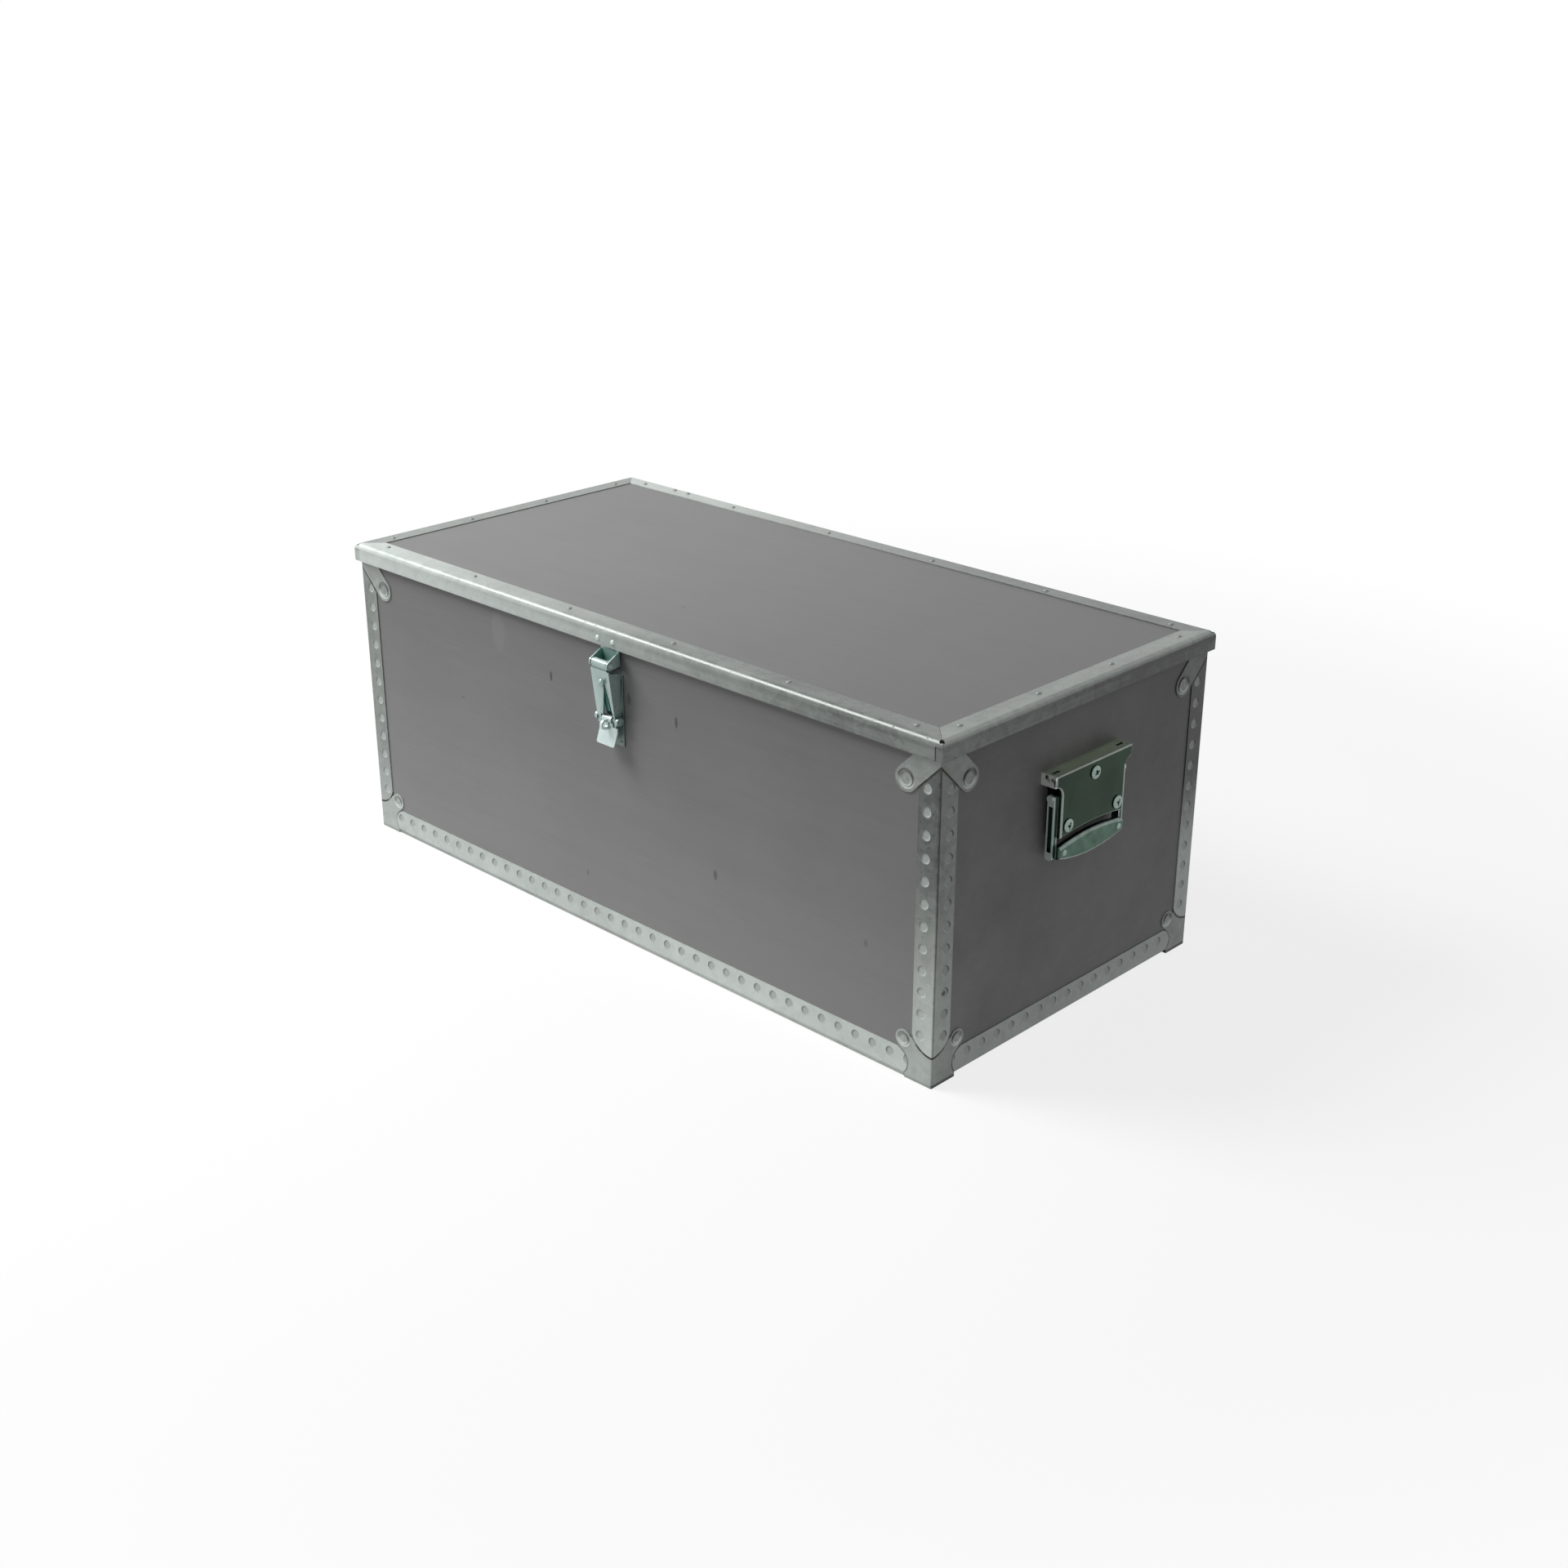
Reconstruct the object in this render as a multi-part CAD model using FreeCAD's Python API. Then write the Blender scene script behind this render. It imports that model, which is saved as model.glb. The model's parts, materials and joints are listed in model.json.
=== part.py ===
import FreeCAD, Part
import math
import os
from FreeCAD import Vector

# Plywood transport case. Pressed steel strips hold the panels at every edge, corner caps and straps
# tie the strips together, and a flat lid with a folded steel rim hinges at the back.
# X runs along the length, the latch is on the -Y side, and the floor is at Z = 0 under the middle.

# Overall sizes, in millimetres
case_length = 800.0
case_width = 382.0
case_height = 324.2
ply = 9.0
sheet = 1.0
overrun = 3.0
snap = 0.001

# Steel strips along the edges of the box
strip_width = 23.0
strip_bend = 1.6
skid_height = 4.5
bead_width = 4.5
foot_leg = 20.0
joint_gap = 0.4
upright_foot = 30.0
tongue_rise = 14.0
tongue_tip = 27.5
tongue_tip_height = 9.5
tongue_radius = 13.7

# Rows of round press marks that hold the strips to the panels
mark_radius = 4.6
mark_floor_radius = 3.3
mark_depth = 0.6
mark_edge = 9.0
mark_pitch = 20.5
upright_mark_drop = 21.3
upright_mark_rise = 17.2
front_mark_left = 37.0
front_mark_right = 47.5
end_mark_in = 47.0

# Corner straps under the lid and caps at the floor
strap_rivet_in = 37.0
strap_rivet_drop = 34.2
strap_ear_radius = 11.8
cap_rivet_in = 32.6
cap_rivet_height = 37.2
cap_ear_radius = 9.0
cap_floor_width = 18.0
dish_radius = 8.8
dish_floor_radius = 7.6
cap_dish_radius = 7.0
cap_dish_floor_radius = 5.9
dish_depth = 0.6
corner_head_gap = 0.7
corner_head_height = 0.5
corner_shank_radius = 2.0
rivet_grip = 6.0
rivet_clearance = 0.05

# Lid
lid_overhang = 4.2
skirt_height = 18.5
lid_flange = 23.5
fold_radius = 6.0
mitre_gap = 0.3
notch_radius = 2.3
notch_in = 3.6
notch_depth = 6.5
tab_width = 7.5
tab_sink = 0.5
lid_rivet_in = 15.0
lid_rivet_head = 2.7
lid_rivet_crown = 1.4
lid_rivet_shank = 1.5
lid_rivet_pitch = 145.6
lid_rivet_end_in = 40.2
side_rivet_pitch = 104.0
side_rivet_end_in = 39.2
extra_rivet_end_in = 96.2
extra_rivet_pitch = 22.0
extra_rivet_in = 10.0

# Hinges on the back
hinge_end_in = 150.0
hinge_width = 60.0
hinge_sheet = 1.5
hinge_pin_radius = 2.0
hinge_drop = 6.0
hinge_leaf_height = 12.0
hinge_leaf_length = 44.0
hinge_joggle = 8.0
hinge_fit = 0.05
hinge_gap = 0.4
hinge_rivet_pitch = 40.0
hinge_rivet_rise = 11.0
hinge_head_radius = 3.2
hinge_head_height = 1.2
hinge_shank_radius = 1.6
hinge_knob_height = 1.0
hinge_knob_radius = 2.9

# Latch: bracket on the lid, hasp, thumb lever, base on the front panel
latch_half = 12.5
latch_sheet = 1.4
latch_gap = 0.5
bracket_sheet = 1.5
bracket_left = 21.0
bracket_right = 12.5
bracket_rivet_left = 15.5
bracket_rivet_right = 5.5
bracket_rivet_height = 6.3
bracket_top_gap = 1.0
hasp_pin_out = 15.0
hasp_pin_drop = 12.7
hasp_pin_radius = 1.5
ear_radius = 4.4
ear_root = 12.8
ear_slope_out = 6.0
ear_top_drop = 2.9
pin_head_radius = 2.4
pin_head_height = 1.2
pin_fit = 0.05
knuckle_radius = 3.4
hasp_back = 3.2
hasp_foot_out = 10.3
hasp_length = 62.0
hasp_shoulder = 5.6
hasp_cheek_drop = 7.5
hasp_cheek_slant = 3.0
window_top = 19.0
window_top_left = 3.4
window_top_right = 4.8
window_left = 3.8
window_right = 10.6
window_foot_half = 7.0
lever_pin_out = 8.0
lever_pin_drop = 56.5
lever_pin_radius = 2.0
lever_knob_radius = 4.0
lever_knob_height = 3.4
lever_knuckle = 3.7
lever_half = 6.4
lever_sheet = 1.5
lever_neck = 7.0
lever_bend_drop = 11.5
lever_bend_out = 0.4
tab_drop = 25.2
tab_out = 4.4
claw_drop = 10.4
claw_height = 2.6
claw_reach = 2.6
lip_reach = 3.5
lip_thickness = 1.5
lip_gap = 2.0
lip_half = 5.0
eye_radius = 5.2
eye_hole = 2.95
eye_thickness = 2.6
eye_out = 5.2
eye_drop = 4.6
spring_half = 3.0
spring_sheet = 0.6
spring_top = 15.0
spring_bend = 27.0
spring_length = 48.5
spring_tip_out = 8.4
dome_drop = 18.5
dome_radius = 3.2
dome_height = 1.9
dome_shank = 1.4
base_half = 13.5
base_sheet = 1.5
base_top_drop = 12.0
base_length = 72.0
base_rivet_in = 3.6
base_head_radius = 2.2
base_head_height = 1.0
base_shank_radius = 1.2

# Drop handles on the ends
cover_half = 45.0
cover_depth = 17.0
cover_sheet = 1.5
cover_top_drop = 59.2
cover_height = 61.0
cover_foot_arch = 3.4
cover_ear_height = 11.0
cover_scoop = 10.0
cover_round = 2.0
cover_slot_half = 5.0
cover_slot_width = 3.0
cover_slot_in = 9.0
screw_top_drop = 11.0
screw_foot_rise = 10.7
screw_foot_at = 35.8
screw_head_radius = 6.4
screw_head_height = 2.4
screw_shank = 2.4
bail_pivot_out = 9.0
bail_pivot_drop = 23.0
bail_pin_radius = 2.5
bail_pin_fit = 0.08
arm_clearance = 0.8
arm_width = 5.6
arm_depth = 7.5
arm_length = 58.5
arm_wall = 1.5
arm_groove_depth = 4.0
arm_foot_radius = 2.5
bail_head_height = 1.2
bail_head_radius = 3.4
grip_back = 9.4
grip_thickness = 8.6
grip_top_drop = 46.0
grip_top_crown = 4.6
grip_end_height = 12.0
grip_foot_crown = 6.2
grip_round = 3.4

# Planes that the pieces share
half_x = case_length / 2
half_y = case_width / 2
face_x = half_x - sheet
face_y = half_y - sheet
lid_x = half_x + lid_overhang
lid_y = half_y + lid_overhang
floor_top = skid_height + ply
lid_under = case_height - sheet - ply
skirt_z = case_height - skirt_height
skirt_out = lid_y - face_y
hinge_at = half_x - hinge_end_in
diagonal_share = math.sqrt(2) / 2
sixty_share = math.sqrt(3) / 2
quadrants = {"front_right": (1, -1), "front_left": (-1, -1), "back_right": (1, 1), "back_left": (-1, 1)}
ends = {"right": 1, "left": -1}
axis_x = Vector(1, 0, 0)
axis_y = Vector(0, 1, 0)
axis_z = Vector(0, 0, 1)
origin = Vector(0, 0, 0)

os.makedirs("parts", exist_ok=True)


def save(name, *shapes):
    whole = shapes[0] if len(shapes) == 1 else Part.makeCompound(list(shapes))
    whole.exportStep("parts/" + name + ".step")


def outline(start, *steps):
    """Closed face: a point is a straight side, a (through, to) pair is an arc."""
    edges = []
    here = start
    for step in steps + (start,):
        if isinstance(step, tuple):
            edges.append(Part.Arc(here, step[0], step[1]).toShape())
            here = step[1]
        elif (step - here).Length > snap:
            edges.append(Part.LineSegment(here, step).toShape())
            here = step
    return Part.Face(Part.Wire(edges))


def block(low, high):
    size = high - low
    return Part.makeBox(size.x, size.y, size.z, low)


def rod(centre, axis, radius, length):
    return Part.makeCylinder(radius, length, centre, axis)


def mirrored(shape, side_x, side_y):
    """A piece drawn at the +X, -Y corner, carried to another corner."""
    if side_x < 0:
        shape = shape.mirror(origin, axis_x)
    if side_y > 0:
        shape = shape.mirror(origin, axis_y)
    return shape


def rivet(seat, axis, head_radius, head_height, shank_radius, length, domed=True):
    """Turned rivet with its head on the seat and its shank going in against the axis."""
    side = axis_y if abs(axis.x) > diagonal_share else axis_x

    def at(radius, height):
        return seat + side * radius + axis * height

    crown = (at(head_radius, head_height), at(0, head_height))
    if domed:
        ball = (head_radius ** 2 + head_height ** 2) / (2 * head_height)
        half_turn = math.asin(head_radius / ball) / 2
        crown = ((at(ball * math.sin(half_turn), head_height - ball + ball * math.cos(half_turn)),
                  at(0, head_height)),)
    profile = outline(at(0, -length), at(shank_radius, -length), at(shank_radius, 0), at(head_radius, 0),
                      *crown)
    return profile.revolve(seat, axis, 360)


def drilled(shape, seat, axis, radius, length):
    start = seat - axis * length
    return shape.cut(rod(start, axis, radius, length + overrun))


def rounded(shape, radius, chosen):
    edges = [edge for edge in shape.Edges if chosen(edge)]
    return shape.makeFillet(radius, edges)


def on_line(edge, **fixed):
    for vertex in edge.Vertexes:
        for name, value in fixed.items():
            if abs(getattr(vertex, name) - value) > snap:
                return False
    return True


def spread(low, high, pitch):
    """Evenly spaced places from low to high, about one pitch apart."""
    gaps = max(round((high - low) / pitch), 1)
    return [low + (high - low) * index / gaps for index in range(gaps + 1)]


def pressed(strip, centres, axis, sides=12):
    """Row of shallow many-sided cups pressed into a strip against the axis."""
    side = axis_y if abs(axis.x) > diagonal_share else axis_x
    turns = [2 * math.pi * index / sides for index in range(sides)]
    spokes = [side * math.cos(turn) + axis_z * math.sin(turn) for turn in turns]
    mouth = (2 * mark_radius - mark_floor_radius, mark_depth)
    cups = []
    for centre in centres:
        rings = []
        for radius, height in ((mark_floor_radius, -mark_depth), mouth):
            ring = [centre + axis * height + spoke * radius for spoke in spokes]
            rings.append(Part.makePolygon(ring + ring[:1]))
        cups.append(Part.makeLoft(rings, True, True))
    return strip.cut(Part.makeCompound(cups))


# Places on the two faces that meet at the +X, -Y corner: "inward" is the distance from the corner line
def front_place(inward, height):
    return Vector(half_x - inward, -half_y, height)


def end_place(inward, height):
    return Vector(half_x, inward - half_y, height)


bend_turn = strip_bend * diagonal_share
envelope = outline(origin, Vector(0, -half_y, 0), Vector(half_x - strip_bend, -half_y, 0),
                   (Vector(half_x - strip_bend + bend_turn, strip_bend - bend_turn - half_y, 0),
                    Vector(half_x, strip_bend - half_y, 0)), Vector(half_x, 0, 0))
envelope = envelope.extrude(axis_z * case_height)


def corner_sheet(blank):
    """Sheet bent round the upright corner, the same blank on both faces."""
    front = blank(front_place).extrude(axis_y * sheet)
    end = blank(end_place).extrude(axis_x * -sheet)
    return front.fuse(end).removeSplitter().common(envelope)


# Strap and cap rivets lie in pressed dishes on both faces of each corner
strap_rivet_z = lid_under - strap_rivet_drop
corner_spots = ((strap_rivet_in, strap_rivet_z, dish_radius, dish_floor_radius),
                (cap_rivet_in, cap_rivet_height, cap_dish_radius, cap_dish_floor_radius))
corner_faces = ((front_place, Vector(0, -1, 0)), (end_place, Vector(1, 0, 0)))


def dished(shape, spot):
    inward, height, wide, narrow = spot
    for place, axis in corner_faces:
        seat = place(inward, height) - axis * dish_depth
        slope = (wide - narrow) / dish_depth
        rim = wide + slope * overrun
        shape = shape.cut(Part.makeCone(narrow, rim, dish_depth + overrun, seat, axis))
        shape = drilled(shape, seat, axis, corner_shank_radius + rivet_clearance, sheet)
    return shape


# Tongue at the foot of an upright strip: an arc that is lowest on the corner line
upright_radius = (strip_width ** 2 + tongue_rise ** 2) / (2 * tongue_rise)
upright_centre = upright_foot + upright_radius


def upright_arc(inward, gap):
    return upright_centre - math.sqrt((upright_radius + gap) ** 2 - inward ** 2)


# Tongue at each end of a bottom strip: an arc whose tip points at the corner
tongue_tip_z = skid_height + tongue_tip_height
strip_top = skid_height + strip_width


def tongue_in(height, gap):
    radius = tongue_radius + gap
    return tongue_tip + tongue_radius - math.sqrt(radius ** 2 - (height - tongue_tip_z) ** 2)


# Top straps: two slanting ears from the corner, squared off under the lid
strap_tip_z = strap_rivet_in + strap_rivet_z - strap_ear_radius / diagonal_share
strap_top_in = strap_rivet_in + strap_rivet_z + strap_ear_radius / diagonal_share - lid_under


def strap_blank(place):
    reach = strap_ear_radius * diagonal_share
    low = place(strap_rivet_in - reach, strap_rivet_z - reach)
    tip = place(strap_rivet_in + reach, strap_rivet_z - reach)
    high = place(strap_rivet_in + reach, strap_rivet_z + reach)
    return outline(place(0, strap_tip_z), low, (tip, high), place(strap_top_in, lid_under),
                   place(0, lid_under))


strap = dished(corner_sheet(strap_blank), corner_spots[0])

# Upright corner strips: mitred under the strap, tongue over the cap
upright_top = strap_tip_z - sheet - joint_gap


def upright_blank(place):
    half_turn = math.asin(strip_width / upright_radius) / 2
    through = upright_radius * math.sin(half_turn)
    edge_z = upright_arc(strip_width, 0)
    return outline(place(0, upright_top), place(strip_width, upright_top - strip_width),
                   place(strip_width, edge_z),
                   (place(through, upright_arc(through, 0)), place(0, upright_foot)))


mark_in = strip_width - mark_edge
upright = corner_sheet(upright_blank)
upright_marks = spread(upright_foot + upright_mark_rise, upright_top - upright_mark_drop, mark_pitch)
for place, axis in corner_faces:
    upright = pressed(upright, [place(mark_in, height) for height in upright_marks], axis)

# Bottom caps: a three-sided foot whose two ears reach out between the tongues
cap_in = tongue_in(skid_height, joint_gap)


def cap_blank(place):
    ear = Vector(cap_rivet_in, cap_rivet_height, 0)
    reach = cap_ear_radius * diagonal_share
    neck_z = tongue_tip_z + tongue_radius * diagonal_share
    ear_low = (ear.x + cap_ear_radius / 2, ear.y - cap_ear_radius * sixty_share)
    inner_in = ear.x - cap_ear_radius * sixty_share
    neck_in = strip_width - joint_gap * strip_width / cap_ear_radius
    neck_low = (neck_in, upright_arc(neck_in, joint_gap))
    half_in = neck_in / 2
    return outline(place(0, 0), place(cap_in, 0), place(cap_in, skid_height),
                   (place(tongue_tip - joint_gap, tongue_tip_z), place(tongue_in(neck_z, joint_gap), neck_z)),
                   place(*ear_low),
                   (place(ear.x + reach, ear.y + reach), place(inner_in, ear.y + cap_ear_radius / 2)),
                   place(*neck_low),
                   (place(half_in, upright_arc(half_in, joint_gap)), place(0, upright_foot - joint_gap)))


cap = corner_sheet(cap_blank)
cap_sole = outline(Vector(half_x - sheet, sheet - half_y, 0), Vector(half_x - cap_in, sheet - half_y, 0),
                   Vector(half_x - cap_in, cap_floor_width - half_y, 0),
                   Vector(half_x - cap_floor_width, cap_in - half_y, 0),
                   Vector(half_x - sheet, cap_in - half_y, 0))
cap = dished(cap.fuse(cap_sole.extrude(axis_z * sheet)).removeSplitter(), corner_spots[1])

corner_rivets = []
for place, axis in corner_faces:
    for inward, height, wide, narrow in corner_spots:
        seat = place(inward, height) - axis * dish_depth
        corner_rivets.append(rivet(seat, axis, narrow - corner_head_gap, corner_head_height,
                                   corner_shank_radius, sheet - dish_depth + rivet_grip, domed=False))

# Front and back bottom strips: wall leg, rounded skid bead at the floor, leg under the bottom panel
bead = bead_width / 2


def wall_leg(place, half, low):
    """Upright leg of a bottom strip, with a tongue at both ends; place takes the run and the height."""
    low_run = half - tongue_in(low, 0)
    tip_run = half - tongue_tip
    top_run = half - tongue_in(strip_top, 0)
    return outline(place(-low_run, low), place(low_run, low),
                   (place(tip_run, tongue_tip_z), place(top_run, strip_top)), place(-top_run, strip_top),
                   (place(-tip_run, tongue_tip_z), place(-low_run, low)))


def bead_section(place):
    return outline(place(0, skid_height), place(0, bead), (place(bead, 0), place(bead_width, bead)),
                   place(bead_width, skid_height - sheet), place(foot_leg, skid_height - sheet),
                   place(foot_leg, skid_height),
                   place(bead_width - sheet, skid_height), place(bead_width - sheet, bead),
                   (place(bead, sheet), place(sheet, bead)), place(sheet, skid_height))


bead_run = half_x - tongue_in(skid_height, 0)
front_leg = wall_leg(lambda run, height: Vector(run, -half_y, height), half_x, skid_height)
front_leg = front_leg.extrude(axis_y * sheet)
front_bead = bead_section(lambda inward, height: Vector(-bead_run, inward - half_y, height))
front_strip = front_leg.fuse(front_bead.extrude(axis_x * (2 * bead_run))).removeSplitter()
mark_z = strip_top - mark_edge
front_marks = spread(front_mark_left - half_x, half_x - front_mark_right, mark_pitch)
front_strip = pressed(front_strip, [Vector(run, -half_y, mark_z) for run in front_marks], Vector(0, -1, 0))

# End bottom strips: plain angle, clear of the floor
end_low = skid_height - sheet
end_run = half_y - tongue_in(end_low, 0)
end_leg = wall_leg(lambda run, height: Vector(half_x, run, height), half_y, end_low).extrude(axis_x * -sheet)
end_foot = block(Vector(half_x - foot_leg, -end_run, end_low), Vector(half_x, end_run, skid_height))
end_bend = outline(Vector(0, -half_y, end_low), Vector(half_x - strip_bend, -half_y, end_low),
                   (Vector(half_x - strip_bend + bend_turn, -half_y, end_low + strip_bend - bend_turn),
                    Vector(half_x, -half_y, end_low + strip_bend)), Vector(half_x, -half_y, case_height),
                   Vector(0, -half_y, case_height)).extrude(axis_y * case_width)
end_strip = end_leg.fuse(end_foot).removeSplitter().common(end_bend)
end_marks = spread(end_mark_in - half_y, half_y - end_mark_in, mark_pitch)
end_strip = pressed(end_strip, [Vector(half_x, run, mark_z) for run in end_marks], axis_x)

# Lid rim: flange on the panel, round fold, skirt, mitred at the corners
fold_turn = fold_radius * diagonal_share
inner_fold = fold_radius - sheet
inner_turn = inner_fold * diagonal_share
fold_z = case_height - fold_radius


def rim_section(place):
    return outline(place(lid_flange, case_height), place(fold_radius, case_height),
                   (place(fold_radius - fold_turn, fold_z + fold_turn), place(0, fold_z)),
                   place(0, skirt_z), place(sheet, skirt_z), place(sheet, fold_z),
                   (place(fold_radius - inner_turn, fold_z + inner_turn),
                    place(fold_radius, case_height - sheet)),
                   place(lid_flange, case_height - sheet))


mitre = mitre_gap * diagonal_share
front_rim = rim_section(lambda inward, height: Vector(-lid_x, inward - lid_y, height))
front_keep = outline(Vector(mitre - lid_x, -lid_y, 0), Vector(lid_x - mitre, -lid_y, 0),
                     Vector(lid_x - mitre - lid_y, 0, 0), Vector(lid_y + mitre - lid_x, 0, 0))
front_keep = front_keep.extrude(axis_z * (case_height + overrun))
front_rim = front_rim.extrude(axis_x * (2 * lid_x)).common(front_keep)
end_rim = rim_section(lambda inward, height: Vector(lid_x - inward, -lid_y, height))
end_keep = outline(Vector(lid_x, mitre - lid_y, 0), Vector(lid_x, lid_y - mitre, 0),
                   Vector(lid_x - lid_y + mitre, 0, 0)).extrude(axis_z * (case_height + overrun))
end_rim = end_rim.extrude(axis_y * (2 * lid_y)).common(end_keep)

# The end rims wrap round the corners with a tab that the front and back skirts stop short of
tab_edge = lid_x - tab_width
for side in (1, -1):
    tab = block(Vector(tab_edge, tab_sink - lid_y, skirt_z), Vector(lid_x, tab_sink + sheet - lid_y, fold_z))
    end_rim = end_rim.fuse(mirrored(tab, 1, -side))
    relief = block(Vector(tab_edge - joint_gap, -lid_y - overrun, skirt_z - overrun),
                   Vector(lid_x + overrun, fold_radius - lid_y, fold_z + joint_gap))
    notch = rod(Vector(lid_x - notch_in, notch_in - lid_y, case_height - notch_depth), axis_z, notch_radius,
                notch_depth + overrun)
    front_rim = front_rim.cut(mirrored(relief, side, -1)).cut(mirrored(notch, side, -1))
    end_rim = end_rim.cut(mirrored(notch, 1, -side))
end_rim = end_rim.removeSplitter()
front_rim = front_rim.removeSplitter()
rims = {"front": front_rim, "back": front_rim.mirror(origin, axis_y),
        "right": end_rim, "left": end_rim.mirror(origin, axis_x)}

lid_panel = block(Vector(fold_radius - lid_x, fold_radius - lid_y, lid_under),
                  Vector(lid_x - fold_radius, lid_y - fold_radius, case_height - sheet))


lid_spots = {"front": [], "back": [], "right": [], "left": []}
for run in spread(lid_rivet_end_in - lid_x, lid_x - lid_rivet_end_in, lid_rivet_pitch):
    lid_spots["front"].append(Vector(run, lid_rivet_in - lid_y, case_height))
    lid_spots["back"].append(Vector(run, lid_y - lid_rivet_in, case_height))
for run in spread(side_rivet_end_in - lid_y, lid_y - side_rivet_end_in, side_rivet_pitch):
    lid_spots["right"].append(Vector(lid_x - lid_rivet_in, run, case_height))
    lid_spots["left"].append(Vector(lid_rivet_in - lid_x, run, case_height))
for run in (-extra_rivet_pitch / 2, extra_rivet_pitch / 2):
    lid_spots["back"].append(Vector(run + extra_rivet_end_in - lid_x, lid_y - extra_rivet_in, case_height))
lid_rivets = []
for side, spots in lid_spots.items():
    for spot in spots:
        length = sheet + rivet_grip
        hole = lid_rivet_shank + rivet_clearance
        lid_rivets.append(rivet(spot, axis_z, lid_rivet_head, lid_rivet_crown, lid_rivet_shank, length))
        rims[side] = drilled(rims[side], spot, axis_z, hole, length)
        lid_panel = drilled(lid_panel, spot, axis_z, hole, length)

# Plywood box: the long walls run past the end walls and all stand on the bottom
bottom_panel = block(Vector(-face_x, -face_y, skid_height), Vector(face_x, face_y, floor_top))
front_panel = block(Vector(-face_x, -face_y, floor_top), Vector(face_x, ply - face_y, lid_under))
right_panel = block(Vector(face_x - ply, ply - face_y, floor_top), Vector(face_x, face_y - ply, lid_under))
back_panel = front_panel.mirror(origin, axis_y)
left_panel = right_panel.mirror(origin, axis_x)

for side_x, side_y in quadrants.values():
    for place, axis in corner_faces:
        for inward, height, wide, narrow in corner_spots:
            seat = place(inward, height) - axis * sheet
            bore = mirrored(rod(seat - axis * rivet_grip, axis, corner_shank_radius + rivet_clearance,
                                rivet_grip + sheet), side_x, side_y)
            if axis.x == 0 and side_y < 0:
                front_panel = front_panel.cut(bore)
            elif axis.x == 0:
                back_panel = back_panel.cut(bore)
            elif side_x > 0:
                right_panel = right_panel.cut(bore)
            else:
                left_panel = left_panel.cut(bore)

# Hinges: the lid leaf lies on the back skirt, the case leaf is joggled down to the back panel
knuckle_outer = hinge_pin_radius + hinge_fit + hinge_sheet
hinge_out = skirt_out + knuckle_outer
hinge_z = skirt_z - hinge_drop
hinge_third = hinge_width / 3


def hinge_place(run, out, height):
    return Vector(run, face_y + out, height)


def across(section, half):
    """Section drawn at run 0, pushed to both sides."""
    return section.extrude(axis_x * (2 * half)).translated(axis_x * -half)


leaf_low = hinge_z + knuckle_outer + hinge_gap
leaf_high = leaf_low + hinge_leaf_height
leaf_out = skirt_out + hinge_sheet
lid_leaf = block(hinge_place(-hinge_width / 2, skirt_out, leaf_low),
                 hinge_place(hinge_width / 2, leaf_out, leaf_high))
pin_line = hinge_place(0, hinge_out, hinge_z)
barrel = rod(pin_line - axis_x * hinge_width, axis_x, knuckle_outer, 2 * hinge_width)
bore = rod(pin_line - axis_x * hinge_width, axis_x, hinge_pin_radius + hinge_fit, 2 * hinge_width)
middle = block(hinge_place(-hinge_third / 2, -overrun, hinge_z - knuckle_outer - overrun),
               hinge_place(hinge_third / 2, hinge_out + hinge_width, case_height))
lid_web = block(hinge_place(-hinge_third / 2, skirt_out, hinge_z),
                hinge_place(hinge_third / 2, leaf_out, leaf_low))
lid_leaf = lid_leaf.fuse(lid_web).fuse(barrel.common(middle)).cut(bore).removeSplitter()

joggle_low = hinge_z - knuckle_outer - hinge_joggle
joggle_high = hinge_z - knuckle_outer
leaf_foot = joggle_high - hinge_leaf_length
case_leaf = across(outline(hinge_place(0, 0, leaf_foot), hinge_place(0, 0, joggle_low),
                           hinge_place(0, skirt_out, joggle_high), hinge_place(0, skirt_out, hinge_z),
                           hinge_place(0, leaf_out, hinge_z),
                           hinge_place(0, leaf_out, joggle_high - hinge_sheet / 2),
                           hinge_place(0, hinge_sheet, joggle_low - hinge_sheet / 2),
                           hinge_place(0, hinge_sheet, leaf_foot)), hinge_width / 2)
ends_only = barrel.common(block(hinge_place(-hinge_width / 2, 0, 0),
                                hinge_place(hinge_width / 2, hinge_width, case_height)))
opening = block(hinge_place(-hinge_third / 2 - hinge_gap, hinge_sheet + hinge_gap, joggle_high - hinge_sheet),
                hinge_place(hinge_third / 2 + hinge_gap, hinge_out + hinge_width, case_height))
case_leaf = case_leaf.fuse(ends_only).cut(opening).cut(bore).removeSplitter()

hinge_pin = rod(pin_line - axis_x * (hinge_width / 2), axis_x, hinge_pin_radius, hinge_width)
for side in (1, -1):
    knob_at = pin_line + axis_x * (side * hinge_width / 2)
    hinge_pin = hinge_pin.fuse(rod(knob_at, axis_x * side, hinge_knob_radius, hinge_knob_height))
hinge_pin = hinge_pin.removeSplitter()

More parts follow.
